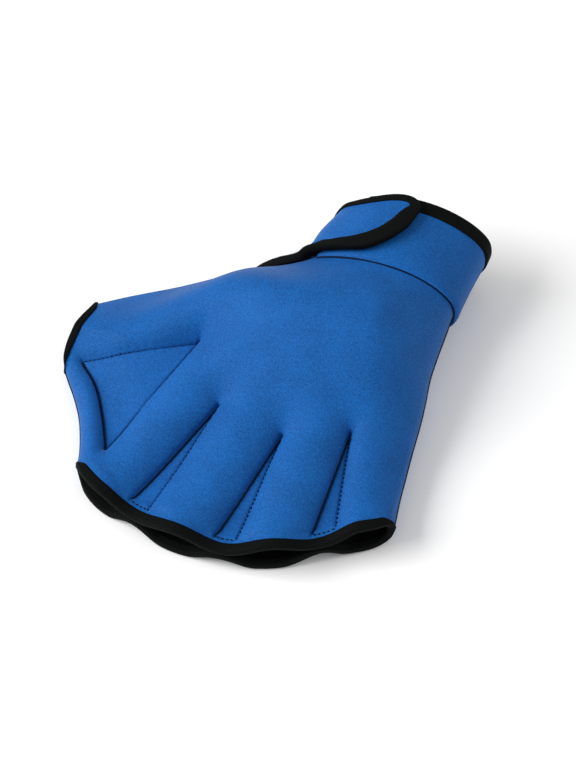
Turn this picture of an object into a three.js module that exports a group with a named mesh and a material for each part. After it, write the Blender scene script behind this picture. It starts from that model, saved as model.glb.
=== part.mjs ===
import * as THREE from 'three';

// Webbed swim glove for the left hand, lying on its palm with the fingers towards -Y and the thumb
// towards -X. The lines of the four fingers meet in one point, the fan point, behind the wrist, and
// the plan of the glove is laid out round it. Millimetres and degrees.

// Cloth
const WALL = 2;
const SEAM_GAP = 0.3;
const TAPE_GAP = 0.4;
const LAP_GAP = 0.5;
const TAPE = 0.6;
const TAPE_WIDTH = 4;
const TAPE_CORNER = 0.7;
const CORNER_WIDTH = 1;
const CORNER_LENGTH = 8;
const MOUTH_GAP = 0.55;
const CORNER_GAP = 1.1;
const WIDE_TAPE_WIDTH = 6;

// Plan, measured from the fan point
const RIM_REACH = 70;
const RIM_SLANT = 7;
const CUFF_LENGTH = 42.5;
const SEAM_SLANT = 0.11;
const SEAM_PIVOT = 10;
const LAP_LENGTH = 5;
const FINGER_REACH = 261;
const REST_REACH = 148;
const THUMB_SPREAD = 109;
const LITTLE_SPREAD = 63;
const FAN_HALF_ANGLE = 17;
const FINGER_ANGLE = 9;
const DART_LENGTH = 60;
const DART_WIDTH = 9;
const DART_INSET = 6;

// Degrees by which neighbouring key lines of the plan part at the tip of a web or at the mouth
const APEX_SPREAD = 0.35;
const WEB_MOUTH_SPREAD = 0.6;

// Heights
const WRIST_SEAM_HEIGHT = 24.5;
const FINGER_SEAM_HEIGHT = 9.3;
const WEB_LIFT = 7;
const WRIST_SWELL = 17;
const PALM_SWELL = 33;
const FINGER_SWELL = 6.2;
const THUMB_SWELL = 3.2;
const MOUTH_RISE = 8.2;
const MOUTH_PART = 1;
const FLOOR_ROUND = 1.5;

// Where one height passes into the next: reach is a share of the finger reach, length in millimetres
const WEB_LIFT_RISE = { fromReach: 0.42, toReach: 0.56 };
const WEB_LIFT_FALL = { fromReach: 0.72, toReach: 0.96 };
const WEB_LIFT_SIDE_LENGTH = 30;
const THUMB_BLEND = { fromTurn: 18, toTurn: 29 };
const MOUTH_BLEND = { fromLength: 10, toLength: 6 };
const LAP_SLOPE = { fromLength: 15, toLength: 2 };
const TAPE_SLOPE = { fromLength: 14, toLength: 6 };

// Strap
const STRAP_START_TURN = -8;
const STRAP_TIP_TURN = 93;
const SLIT_TURN = 46;
const PATCH_TURNS = [54, 76];
const PATCH_SHARES = [0.70, 0.48];
const PATCH_STEPS = { along: 3, around: 4 };
const SLIT_GAP_TURN = 0.8;
const ROOT_SLOPE = { fromTurn: 12, toTurn: 42 };
const ROOT_PLAY = 0.2;

const CUFF_REACH = RIM_REACH + CUFF_LENGTH;
const LAP_REACH = CUFF_REACH - LAP_LENGTH;
const TAPE_STACK = TAPE_GAP + TAPE;
const CUFF_STACK = LAP_GAP + WALL + TAPE_STACK;
const ROOT_LIFT = TAPE_STACK + LAP_GAP + ROOT_PLAY;
const STRAP_LIFT = CUFF_STACK + TAPE_STACK + SEAM_GAP;

// Finger mouth: turn is a share of the half angle of the fan, reach a share of the finger reach
const MOUTH_EDGE = [
  { turn: -1.00, reach: 0.850 },
  { turn: -0.86, reach: 0.878 },
  { turn: -0.71, reach: 0.897 },
  { turn: -0.56, reach: 0.917 },
  { turn: -0.44, reach: 0.937 },
  { turn: -0.30, reach: 0.957 },
  { turn: -0.10, reach: 0.977 },
  { turn: 0.12, reach: 0.990 },
  { turn: 0.30, reach: 0.998 },
  { turn: 0.53, reach: 0.997 },
  { turn: 0.74, reach: 1.000 },
  { turn: 0.88, reach: 0.992 },
  { turn: 1.00, reach: 0.975 },
];

// Edges of the plan: reach is a share of the finger reach, side a share of the named spread
const THUMB_SIDE_EDGE = [
  { reach: 0.260, side: 0.130 },
  { reach: 0.310, side: 0.153 },
  { reach: 0.350, side: 0.178 },
  { reach: 0.385, side: 0.199 },
  { reach: 0.418, side: 0.214 },
  { reach: 0.448, side: 0.285 },
  { reach: 0.480, side: 0.440 },
  { reach: 0.508, side: 0.545 },
  { reach: 0.535, side: 0.650 },
  { reach: 0.571, side: 0.778 },
  { reach: 0.600, side: 0.876 },
  { reach: 0.631, side: 0.970 },
];
const THUMB_MOUTH_EDGE = [
  { reach: 0.631, side: 0.970 },
  { reach: 0.659, side: 0.966 },
  { reach: 0.709, side: 0.970 },
  { reach: 0.740, side: 0.968 },
  { reach: 0.762, side: 0.956 },
  { reach: 0.774, side: 0.940 },
];
const WEB_EDGE = [
  { reach: 0.774, side: 0.940 },
  { reach: 0.787, side: 0.912 },
  { reach: 0.818, side: 0.839 },
  { reach: 0.851, side: 0.775 },
  { reach: 0.885, side: 0.727 },
  { reach: 0.912, side: 0.696 },
  { reach: 0.935, side: 0.678 },
  { reach: 0.990, side: 0.650 },
];
const LITTLE_SIDE_EDGE = [
  { reach: 0.260, side: 0.757 },
  { reach: 0.291, side: 0.760 },
  { reach: 0.337, side: 0.755 },
  { reach: 0.383, side: 0.746 },
  { reach: 0.425, side: 0.752 },
  { reach: 0.464, side: 0.762 },
  { reach: 0.502, side: 0.772 },
  { reach: 0.540, side: 0.789 },
  { reach: 0.579, side: 0.825 },
  { reach: 0.617, side: 0.857 },
  { reach: 0.655, side: 0.881 },
  { reach: 0.693, side: 0.905 },
  { reach: 0.732, side: 0.933 },
  { reach: 0.770, side: 0.960 },
  { reach: 0.814, side: 1.000 },
  { reach: 0.865, side: 1.050 },
];

// Flat web between the thumb and the first finger, its three stitched sides
const WEB_THUMB_LINE = [
  { reach: 0.631, side: 0.503 },
  { reach: 0.670, side: 0.649 },
  { reach: 0.705, side: 0.770 },
  { reach: 0.748, side: 0.891 },
];
const WEB_OUTER_LINE = [
  { reach: 0.748, side: 0.891 },
  { reach: 0.788, side: 0.777 },
  { reach: 0.838, side: 0.684 },
  { reach: 0.892, side: 0.602 },
];
const WEB_FINGER_LINE = [
  { reach: 0.631, side: 0.503 },
  { reach: 0.892, side: 0.602 },
];

// Darts between the fingers: turn is a share of the finger angle, the tip's reach a share of the
// dart length before the bottom line, lean moves the tip sideways as a share of the dart width
const DARTS = [
  { turn: 1.00, length: 1.00, lean: 0.30 },
  { turn: -0.02, length: 0.95, lean: 0.05 },
  { turn: -1.03, length: 0.88, lean: 0.20 },
];

// Height of the side seams and fullness of the foam, by reach as a share of the finger reach
const SEAM_HEIGHTS = [
  { reach: 0.29, height: 1.000 },
  { reach: 0.40, height: 0.900 },
  { reach: 0.45, height: 0.740 },
  { reach: 0.50, height: 0.540 },
  { reach: 0.57, height: 0.300 },
  { reach: 0.65, height: 0.180 },
  { reach: 0.75, height: 0.060 },
  { reach: 0.87, height: 0.010 },
  { reach: 1.00, height: 0.000 },
];
const SWELLS = [
  { reach: 0.29, wrist: 1, palm: 0 },
  { reach: 0.42, wrist: 1, palm: 0.10 },
  { reach: 0.50, wrist: 0.4, palm: 0.70 },
  { reach: 0.57, wrist: 0, palm: 1.00 },
  { reach: 0.65, wrist: 0, palm: 0.50 },
  { reach: 0.73, wrist: 0, palm: 0.10 },
  { reach: 0.82, wrist: 0, palm: 0.04 },
  { reach: 1.00, wrist: 0, palm: 0.00 },
];

const DEGREE = Math.PI / 180;
const FULL_TURN = 2 * Math.PI / DEGREE;
const NEARLY = 1e-4;
const mix = (a, b, t) => a + (b - a) * t;
const clamp01 = (t) => Math.min(1, Math.max(0, t));
const ease = (from, to, value) => {
  const t = clamp01((value - from) / (to - from));
  return t * t * (3 - 2 * t);
};

// The larger of two heights, with the corner between them rounded
const softMax = (height, floor, round) => {
  const over = clamp01((height - floor + round) / (2 * round));
  return height > floor + round ? height : floor + round * over * over;
};

// Smooth value through the rows of a table, flat beyond both ends
function readTable(rows, keyName, valueName, key) {
  const last = rows.length - 1;
  if (key <= rows[0][keyName]) return rows[0][valueName];
  if (key >= rows[last][keyName]) return rows[last][valueName];
  const at = rows.findIndex((row) => row[keyName] >= key) - 1;
  const slope = (i) => {
    const a = rows[Math.max(0, i - 1)];
    const b = rows[Math.min(last, i + 1)];
    return (b[valueName] - a[valueName]) / (b[keyName] - a[keyName]);
  };
  const span = rows[at + 1][keyName] - rows[at][keyName];
  const t = (key - rows[at][keyName]) / span;
  const t2 = t * t;
  const t3 = t2 * t;
  return rows[at][valueName] * (2 * t3 - 3 * t2 + 1) + slope(at) * span * (t3 - 2 * t2 + t)
    + rows[at + 1][valueName] * (3 * t2 - 2 * t3) + slope(at + 1) * span * (t3 - t2);
}

// Plan points are [x, y] with the fan point at the origin
const planPoint = (reach, turn) => [-reach * Math.sin(turn * DEGREE), -reach * Math.cos(turn * DEGREE)];
const reachOf = ([x, y]) => Math.hypot(x, y);
const turnOf = ([x, y]) => Math.atan2(-x, -y) / DEGREE;

function smoothLine(rows, spread, steps = 4) {
  const points = rows.map((row) => new THREE.Vector3(spread * row.side, -FINGER_REACH * row.reach, 0));
  const curve = new THREE.CatmullRomCurve3(points, false, 'centripetal');
  return curve.getPoints(steps * (points.length - 1)).map((point) => [point.x, point.y]);
}

const thumbSideEdge = smoothLine(THUMB_SIDE_EDGE, -THUMB_SPREAD);
const thumbMouthEdge = smoothLine(THUMB_MOUTH_EDGE, -THUMB_SPREAD);
const webThumbLine = smoothLine(WEB_THUMB_LINE, -THUMB_SPREAD);
const webOuterLine = smoothLine(WEB_OUTER_LINE, -THUMB_SPREAD);
const webFingerLine = smoothLine(WEB_FINGER_LINE, -THUMB_SPREAD);
const webOutline = [...webThumbLine, ...webOuterLine.slice(1), ...webFingerLine.slice(1, -1).reverse()];

const mouthReach = (turn) => FINGER_REACH * readTable(MOUTH_EDGE, 'turn', 'reach', turn / FAN_HALF_ANGLE);

// The two seams that run down to the finger mouth end on its edge
function cutAtMouth(line) {
  const beyond = (point) => reachOf(point) - mouthReach(turnOf(point));
  const at = line.findIndex((point) => beyond(point) > 0);
  const [from, to] = [line[at - 1], line[at]];
  const t = beyond(from) / (beyond(from) - beyond(to));
  return [...line.slice(0, at), [mix(from[0], to[0], t), mix(from[1], to[1], t)]];
}
const webEdge = cutAtMouth(smoothLine(WEB_EDGE, -THUMB_SPREAD));
const littleSideEdge = cutAtMouth(smoothLine(LITTLE_SIDE_EDGE, LITTLE_SPREAD));

// Each dart is a thin triangle: its tip and the two ends of its bottom line
const darts = DARTS.map((dart) => {
  const turn = dart.turn * FINGER_ANGLE;
  const bottomReach = mouthReach(turn) - DART_INSET;
  const halfTurn = DART_WIDTH / 2 / bottomReach / DEGREE;
  const tipReach = bottomReach - DART_LENGTH * dart.length;
  return {
    turn,
    tip: planPoint(tipReach, turn + dart.lean * halfTurn),
    thumbEnd: planPoint(mouthReach(turn + halfTurn) - DART_INSET, turn + halfTurn),
    littleEnd: planPoint(mouthReach(turn - halfTurn) - DART_INSET, turn - halfTurn),
  };
});

function segmentDistance([x, y], [ax, ay], [bx, by]) {
  const dx = bx - ax;
  const dy = by - ay;
  const t = clamp01(((x - ax) * dx + (y - ay) * dy) / (dx * dx + dy * dy));
  return Math.hypot(x - ax - t * dx, y - ay - t * dy);
}

function lineDistance(point, line) {
  let least = Infinity;
  for (let i = 1; i < line.length; i += 1) {
    least = Math.min(least, segmentDistance(point, line[i - 1], line[i]));
  }
  return least;
}

function isInside([x, y], outline) {
  let inside = false;
  for (let i = 0, j = outline.length - 1; i < outline.length; j = i, i += 1) {
    const [ax, ay] = outline[i];
    const [bx, by] = outline[j];
    if ((ay > y) !== (by > y) && x < ((bx - ax) * (y - ay)) / (by - ay) + ax) inside = !inside;
  }
  return inside;
}

const flatDistance = (point, outline) => {
  return isInside(point, outline) ? 0 : lineDistance(point, [...outline, outline[0]]);
};

const dartOutlines = darts.map((dart) => [dart.tip, dart.thumbEnd, dart.littleEnd]);
const sideSeams = [thumbSideEdge, webEdge, littleSideEdge];

// The seam of the cuff runs across the wrist at a slant
const cuffSeamY = (x) => SEAM_SLANT * (x - SEAM_PIVOT) - CUFF_REACH;

// Height of the seam plane between the two panels
function seamHeight(point, sideDistance) {
  const share = reachOf(point) / FINGER_REACH;
  const side = mix(FINGER_SEAM_HEIGHT, WRIST_SEAM_HEIGHT, readTable(SEAM_HEIGHTS, 'reach', 'height', share));
  const inner = ease(0, WEB_LIFT_SIDE_LENGTH, sideDistance);
  const rise = ease(WEB_LIFT_RISE.fromReach, WEB_LIFT_RISE.toReach, share);
  const fall = ease(WEB_LIFT_FALL.fromReach, WEB_LIFT_FALL.toReach, share);
  return side + WEB_LIFT * inner * rise * (1 - fall);
}

function swellAt(point) {
  const share = reachOf(point) / FINGER_REACH;
  const wrist = readTable(SWELLS, 'reach', 'wrist', share);
  const palm = readTable(SWELLS, 'reach', 'palm', share);
  const swell = FINGER_SWELL + (WRIST_SWELL - FINGER_SWELL) * wrist + (PALM_SWELL - FINGER_SWELL) * palm;
  return mix(swell, THUMB_SWELL, ease(THUMB_BLEND.fromTurn, THUMB_BLEND.toTurn, turnOf(point)));
}

// Rounded wave of the finger mouth: 1 over a finger, 0 at a dart, a round end at the side seams
function mouthWave(turn) {
  const ends = [turnOf(webEdge.at(-1)), ...darts.map((dart) => dart.turn), turnOf(littleSideEdge.at(-1))];
  const last = darts.length;
  const at = Math.min(last, Math.max(0, ends.findIndex((end) => end <= turn) - 1));
  const t = clamp01((ends[at] - turn) / (ends[at] - ends[at + 1]));
  const seamSide = (at === 0 && t < 0.5) || (at === last && t > 0.5);
  if (seamSide) return { wave: Math.sqrt(Math.max(0, 1 - (1 - 2 * t) ** 2)), parted: 0 };
  const wave = Math.sin(Math.PI * t) ** 2;
  return { wave, parted: 1 - wave };
}

// Rise of the foam over the seam plane at one plan point
function riseAt(point) {
  const seamTerms = sideSeams.map((seam) => lineDistance(point, seam));
  const sideDistance = Math.min(...seamTerms);
  const flatTerms = [...dartOutlines, webOutline].map((outline) => flatDistance(point, outline));
  const least = 1e-3;
  const sum = [...seamTerms, ...flatTerms].reduce((total, d) => total + 1 / Math.max(d, least) ** 2, 0);
  const swollen = Math.sqrt(swellAt(point) / Math.sqrt(sum));
  const turn = turnOf(point);
  const toMouth = mouthReach(turn) - reachOf(point);
  const isFinger = Math.abs(turn) < FAN_HALF_ANGLE + 1;
  const nearMouth = isFinger ? ease(MOUTH_BLEND.fromLength, MOUTH_BLEND.toLength, toMouth) : 0;
  const { wave, parted } = mouthWave(turn);
  const edge = Math.min(sideDistance, WALL);
  const edgeRound = Math.sqrt(WALL * WALL - (WALL - edge) ** 2);
  const waved = (MOUTH_RISE * wave + MOUTH_PART * parted) * edgeRound / WALL;
  return {
    seam: seamHeight(point, sideDistance),
    edgeRound,
    swollen: mix(swollen, waved, nearMouth),
    isFlat: Math.min(...flatTerms) < 0.01,
  };
}

// The palm rests on the floor. Near the wrist the cuff under it does, and at the mouth its tape.
const floorAt = (point) => {
  const lapped = ease(LAP_SLOPE.fromLength, LAP_SLOPE.toLength, cuffSeamY(point[0]) - point[1]);
  const toMouth = mouthReach(turnOf(point)) - reachOf(point);
  const taped = ease(TAPE_SLOPE.fromLength, TAPE_SLOPE.toLength, toMouth);
  return SEAM_GAP / 2 + CUFF_STACK * lapped + (MOUTH_GAP + TAPE) * taped;
};

function backHeight(point) {
  const rise = riseAt(point);
  return rise.seam + rise.edgeRound + rise.swollen;
}

function palmHeight(point) {
  const rise = riseAt(point);
  return softMax(rise.seam - rise.edgeRound - rise.swollen, floorAt(point), FLOOR_ROUND);
}

const place = ([x, y], z) => new THREE.Vector3(x, y + REST_REACH, z);

// Outward unit normal of a height surface, up for the back and down for the palm
function heightNormal(heightOf, [x, y], sign) {
  const step = Math.min(0.4, 0.45 * Math.min(...sideSeams.map((seam) => lineDistance([x, y], seam))));
  const slopeX = (heightOf([x + step, y]) - heightOf([x - step, y])) / (2 * step);
  const slopeY = (heightOf([x, y + step]) - heightOf([x, y - step])) / (2 * step);
  return new THREE.Vector3(-slopeX, -slopeY, 1).multiplyScalar(sign).normalize();
}

// Closed meshes
function closedMesh(name, color, positions, faces) {
  let volume = 0;
  for (const [a, b, c] of faces) {
    volume += positions[a].dot(positions[b].clone().cross(positions[c]));
  }
  const geometry = new THREE.BufferGeometry();
  const coordinates = positions.flatMap((point) => point.toArray());
  geometry.setAttribute('position', new THREE.Float32BufferAttribute(coordinates, 3));
  geometry.setIndex(faces.flatMap(([a, b, c]) => (volume > 0 ? [a, b, c] : [a, c, b])));
  geometry.computeVertexNormals();
  const material = new THREE.MeshStandardMaterial({ color, roughness: 0.85, metalness: 0 });
  const mesh = new THREE.Mesh(geometry, material);
  mesh.name = name;
  return mesh;
}

// Sheet between two grids of points, closed along its four edges
function sheetMesh(name, color, outer, inner) {
  const rows = outer.length;
  const columns = outer[0].length;
  const index = (side, i, j) => side * rows * columns + i * columns + j;
  const faces = [];
  const quad = (a, b, c, d) => faces.push([a, b, c], [a, c, d]);
  for (let i = 0; i + 1 < rows; i += 1) {
    for (let j = 0; j + 1 < columns; j += 1) {
      quad(index(0, i, j), index(0, i, j + 1), index(0, i + 1, j + 1), index(0, i + 1, j));
      quad(index(1, i, j), index(1, i + 1, j), index(1, i + 1, j + 1), index(1, i, j + 1));
    }
    quad(index(0, i, 0), index(0, i + 1, 0), index(1, i + 1, 0), index(1, i, 0));
    const end = columns - 1;
    quad(index(0, i, end), index(1, i, end), index(1, i + 1, end), index(0, i + 1, end));
  }
  for (let j = 0; j + 1 < columns; j += 1) {
    quad(index(0, 0, j), index(1, 0, j), index(1, 0, j + 1), index(0, 0, j + 1));
    const end = rows - 1;
    quad(index(0, end, j), index(0, end, j + 1), index(1, end, j + 1), index(1, end, j));
  }
  return closedMesh(name, color, [...outer.flat(), ...inner.flat()], faces);
}

// Tape folded over an edge. Each station gives the edge of the cloth (outer and inner corner), the
// same two corners one tape width back from the edge, and the direction out of the edge.
// The parts name where each facet of a section lies.
const FACET_PARTS = [
  'upper', 'rim', 'rim', 'rim', 'lower', 'rim', 'lower', 'rim', 'upper', 'rim',
];
function tapeMesh(name, color, stations, isRing) {
  const upAt = ({ outer, inner }) => outer.clone().sub(inner).normalize();
  const offset = (point, direction, distance) => point.clone().addScaledVector(direction, distance);
  const sections = stations.map(({ outer, inner, backOuter, backInner, out, gap }) => {
    const stack = gap + TAPE;
    const up = upAt({ outer, inner });
    const backUp = backOuter.clone().sub(backInner).normalize();
    const middle = outer.clone().add(inner).multiplyScalar(0.5);
    const half = outer.distanceTo(inner) / 2;
    return [
      offset(backOuter, backUp, stack),
      offset(offset(outer, up, stack), out, gap / 2),
      offset(offset(middle, up, half * TAPE_CORNER), out, stack),
      offset(offset(middle, up, -half * TAPE_CORNER), out, stack),
      offset(offset(inner, up, -stack), out, gap / 2),
      offset(backInner, backUp, -stack),
      offset(backInner, backUp, -gap),
      offset(offset(inner, up, -gap), out, gap),
      offset(offset(outer, up, gap), out, gap),
      offset(backOuter, backUp, gap),
    ];
  });
  const points = sections.flat();
  const sides = sections[0].length;
  const faces = [];
  const count = sections.length;
  // Each facet is split along the diagonal that lies further out, so that the tape clears the cloth
  for (let i = 0; i + (isRing ? 0 : 1) < count; i += 1) {
    const next = (i + 1) % count;
    for (let k = 0; k < sides; k += 1) {
      const side = (k + 1) % sides;
      const [a, b, c, d] = [i * sides + k, i * sides + side, next * sides + side, next * sides + k];
      const out = stations[i].out.clone().add(stations[next].out);
      const up = upAt(stations[i]).add(upAt(stations[next]));
      const directions = { upper: up, lower: up.clone().negate(), rim: out };
      const away = directions[FACET_PARTS[k]];
      const reach = (from, to) => points[from].clone().add(points[to]).dot(away);
      if (reach(b, d) > reach(a, c)) faces.push([a, b, d], [b, c, d]);
      else faces.push([a, b, c], [a, c, d]);
    }
  }
  if (!isRing) {
    // The cap at each end: upper leg, rim and lower leg of the section
    const cap = [[0, 1, 8], [0, 8, 9], [1, 2, 8], [2, 3, 7], [2, 7, 8], [3, 4, 7], [4, 5, 6], [4, 6, 7]];
    const base = (count - 1) * sides;
    cap.forEach(([a, b, c]) => faces.push([a, c, b], [base + a, base + b, base + c]));
  }
  return closedMesh(name, color, points, faces);
}

// Rows of the plan run from the lap under the cuff, row share 0, to the finger mouth, row share 1
const lapReachAt = (turn) => {
  const across = Math.cos(turn * DEGREE) - SEAM_SLANT * Math.sin(turn * DEGREE);
  return (LAP_REACH + SEAM_SLANT * SEAM_PIVOT) / across;
};
const rowReach = (turn, share) => mix(lapReachAt(turn), mouthReach(turn), share);
function rowShare(point) {
  const turn = turnOf(point);
  return (reachOf(point) - lapReachAt(turn)) / (mouthReach(turn) - lapReachAt(turn));
}

// Where a line down the plan meets one row
function rowCrossing(line, share) {
  let at = line.findIndex((point) => rowShare(point) >= share);
  if (at < 0) at = line.length - 1;
  if (at === 0) at = 1;
  const [from, to] = [line[at - 1], line[at]];
  let [low, high] = [0, 1];
  for (let i = 0; i < 24; i += 1) {
    const middle = (low + high) / 2;
    const point = [mix(from[0], to[0], middle), mix(from[1], to[1], middle)];
    if (rowShare(point) < share) low = middle;
    else high = middle;
  }
  return turnOf([mix(from[0], to[0], low), mix(from[1], to[1], low)]);
}

// Lines that the columns of both panels follow, from the thumb side to the little finger side, and
// where they start on the first row, as shares of its length
const LAP_SHARES = { web: [0.13, 0.17], darts: [[0.36, 0.39], [0.55, 0.58], [0.76, 0.79]] };
const atLap = (share) => {
  const left = rowCrossing(thumbSideEdge, 0);
  const right = rowCrossing(littleSideEdge, 0);
  const turn = mix(left, right, share);
  return planPoint(lapReachAt(turn), turn);
};
const mouthPoint = (turn) => planPoint(mouthReach(turn), turn);
const shiftTurn = (point, turn) => planPoint(reachOf(point), turnOf(point) + turn);
const dartLine = (dart, end, atWrist, sign) => [
  atLap(atWrist), shiftTurn(dart.tip, sign * APEX_SPREAD / 2), dart[end], mouthPoint(turnOf(dart[end])),
];
const thumbLine = [...thumbSideEdge, ...thumbMouthEdge.slice(1), ...webEdge.slice(1)];
const webEnd = webOuterLine.at(-1);
const webThumbKey = [
  atLap(LAP_SHARES.web[0]), shiftTurn(webThumbLine[0], APEX_SPREAD), ...webThumbLine.slice(1),
  ...webOuterLine.slice(1, -1), shiftTurn(webEnd, APEX_SPREAD / 2),
  mouthPoint(turnOf(webEnd) + WEB_MOUTH_SPREAD / 2),
];
const webFingerKey = [
  atLap(LAP_SHARES.web[1]), webFingerLine[0], shiftTurn(webEnd, -APEX_SPREAD / 2),
  mouthPoint(turnOf(webEnd) - WEB_MOUTH_SPREAD / 2),
];
const dartKeys = darts.flatMap((dart, i) => {
  const [thumbSide, littleSide] = LAP_SHARES.darts[i];
  return [dartLine(dart, 'thumbEnd', thumbSide, 1), dartLine(dart, 'littleEnd', littleSide, -1)];
});
const keyLines = [thumbLine, webThumbKey, webFingerKey, ...dartKeys, littleSideEdge];
const COLUMN_STEPS = [7, 3, 5, 1, 5, 1, 5, 1, 5];
const ROUNDED_COLUMNS = [true, false, true, false, true, false, true, false, true];

// Row shares pass through the tips and corners of the webs
const THUMB_TOP_ROW = rowShare(thumbMouthEdge[0]);
const THUMB_END_ROW = rowShare(thumbMouthEdge.at(-1));
const WEB_TIP_ROW = rowShare(webThumbLine[0]);
const WEB_CORNER_ROW = rowShare(webOuterLine[0]);
const WEB_END_ROW = rowShare(webOuterLine.at(-1));
const DART_END_ROW = rowShare(darts[1].thumbEnd);
const END_ROW_STEP = 0.008;
const CUFF_ROW = LAP_LENGTH / (mouthReach(0) - LAP_REACH);
const TAPE_ROW = 1 - TAPE_WIDTH / (mouthReach(0) - LAP_REACH);
const ROW_KEYS = [
  { share: 0, steps: 1 },
  { share: CUFF_ROW, steps: 4 },
  { share: WEB_TIP_ROW, steps: 1 },
  { share: THUMB_TOP_ROW - 4 * END_ROW_STEP, steps: 1 },
  { share: THUMB_TOP_ROW, steps: 1 },
  { share: THUMB_TOP_ROW + END_ROW_STEP, steps: 1 },
  { share: THUMB_TOP_ROW + 3 * END_ROW_STEP, steps: 4 },
  { share: WEB_CORNER_ROW, steps: 2 },
  { share: THUMB_END_ROW - END_ROW_STEP, steps: 1 },
  { share: THUMB_END_ROW, steps: 1 },
  { share: THUMB_END_ROW + 4 * END_ROW_STEP, steps: 2 },
  { share: WEB_END_ROW, steps: 2 },
  { share: DART_END_ROW, steps: 1 },
  { share: TAPE_ROW, steps: 1 },
  { share: 1, steps: 0 },
];
const rowShares = ROW_KEYS.flatMap(({ share, steps }, i) => {
  return Array.from({ length: steps }, (_, k) => mix(share, ROW_KEYS[i + 1].share, k / steps));
}).concat(1);

function planRow(share) {
  const turns = keyLines.map((line) => rowCrossing(line, share));
  const row = [];
  COLUMN_STEPS.forEach((steps, part) => {
    for (let k = 0; k < steps; k += 1) {
      const t = k / steps;
      const across = ROUNDED_COLUMNS[part] ? mix(t, (1 - Math.cos(Math.PI * t)) / 2, 0.6) : t;
      row.push(mix(turns[part], turns[part + 1], across));
    }
  });
  row.push(turns.at(-1));
  return row.map((turn) => planPoint(rowReach(turn, share), turn));
}
const planGrid = rowShares.map(planRow);

// Sideways direction out of a seam, at a point of its line
function seamOutward(point, line, side) {
  const distanceTo = (i) => segmentDistance(point, line[i - 1], line[i]);
  let best = 1;
  for (let i = 2; i < line.length; i += 1) {
    if (distanceTo(i) < distanceTo(best)) best = i;
  }
  const along = new THREE.Vector3(line[best][0] - line[best - 1][0], line[best][1] - line[best - 1][1], 0);
  return along.normalize().cross(new THREE.Vector3(0, 0, side));
}

// Outer and inner point of one panel: sign 1 is the back, -1 the palm
function panelPoint(sign, point) {
  const heightOf = sign > 0 ? backHeight : palmHeight;
  const rise = riseAt(point);
  const gap = sign * SEAM_GAP / 2;
  const z = heightOf(point);
  const seams = [[thumbSideEdge, 1], [webEdge, 1], [littleSideEdge, -1]];
  const seam = seams.find(([line]) => lineDistance(point, line) < 0.02);
  const outer = place(point, z + gap);
  let normal = rise.isFlat ? new THREE.Vector3(0, 0, sign) : heightNormal(heightOf, point, sign);
  if (seam) normal = seamOutward(point, ...seam);
  const inner = outer.clone().addScaledVector(normal, -WALL);
  const innerSeam = rise.seam + gap;
  inner.z = sign > 0 ? Math.max(inner.z, innerSeam) : Math.min(inner.z, innerSeam);
  return { outer, inner };
}

function panelMesh(name, color, sign) {
  const points = planGrid.map((row) => row.map((point) => panelPoint(sign, point)));
  const pick = (key) => points.map((row) => row.map((point) => point[key]));
  return sheetMesh(name, color, pick('outer'), pick('inner'));
}

// Mouth tapes follow the same stations as the edges of the two panels
function tapeStation(edge, back, gap = TAPE_GAP) {
  const middle = (pair) => pair.outer.clone().add(pair.inner).multiplyScalar(0.5);
  const out = middle(edge).sub(middle(back)).normalize();
  return { outer: edge.outer, inner: edge.inner, backOuter: back.outer, backInner: back.inner, out, gap };
}

function seamPoint(point, line, side) {
  const z = seamHeight(point, 0);
  const outer = place(point, z);
  return { outer, inner: outer.clone().addScaledVector(seamOutward(point, line, side), -WALL) };
}

// Point of a line that lies a given length before one of its ends
function alongFromEnd(line, length, fromStart) {
  const points = fromStart ? line : [...line].reverse();
  let left = length;
  for (let i = 1; i < points.length; i += 1) {
    const step = Math.hypot(points[i][0] - points[i - 1][0], points[i][1] - points[i - 1][1]);
    if (step > left) {
      const t = left / step;
      return [mix(points[i - 1][0], points[i][0], t), mix(points[i - 1][1], points[i][1], t)];
    }
    left -= step;
  }
  return points.at(-1);
}

// Stations of one mouth: its edge runs between the ends of two seams, and the tape's width turns
// from the line of the first seam to that of the second
function mouthStations(edge, first, second, widthAt) {
  const lengths = [0];
  for (let i = 1; i < edge.length; i += 1) {
    lengths.push(lengths[i - 1] + Math.hypot(edge[i][0] - edge[i - 1][0], edge[i][1] - edge[i - 1][1]));
  }
  const whole = lengths.at(-1);
  const fromCorner = (i) => ease(0, CORNER_LENGTH, Math.min(lengths[i], whole - lengths[i]));
  const backOf = (point, i) => {
    const [dx, dy] = widthAt(point, lengths[i], whole);
    const scale = mix(CORNER_WIDTH, TAPE_WIDTH, fromCorner(i)) / Math.hypot(dx, dy);
    return [point[0] + dx * scale, point[1] + dy * scale];
  };
  const inside = (sign) => edge.map((point, i) => {
    const gap = mix(CORNER_GAP, MOUTH_GAP, fromCorner(i));
    return tapeStation(panelPoint(sign, point), panelPoint(sign, backOf(point, i)), gap);
  }).slice(1, -1);
  const end = (point, { line, side, back }) => {
    return tapeStation(seamPoint(point, line, side), seamPoint(back, line, side), CORNER_GAP);
  };
  return [end(edge[0], first), ...inside(1), end(edge.at(-1), second), ...inside(-1).reverse()];
}

const towards = (from, to) => {
  const length = Math.hypot(to[0] - from[0], to[1] - from[1]);
  return [(to[0] - from[0]) / length, (to[1] - from[1]) / length];
};
const blend = (a, b, t) => [mix(a[0], b[0], t), mix(a[1], b[1], t)];

function fingerStations() {
  const edge = planGrid.at(-1);
  const first = { line: webEdge, side: 1, back: alongFromEnd(webEdge, CORNER_WIDTH, false) };
  const second = { line: littleSideEdge, side: -1, back: alongFromEnd(littleSideEdge, CORNER_WIDTH, false) };
  const turning = 3 * TAPE_WIDTH;
  return mouthStations(edge, first, second, (point, length, whole) => {
    const radial = towards(point, [0, 0]);
    const fromFirst = blend(towards(edge[0], first.back), radial, ease(0, turning, length));
    return blend(towards(edge.at(-1), second.back), fromFirst, ease(0, turning, whole - length));
  });
}

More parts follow.
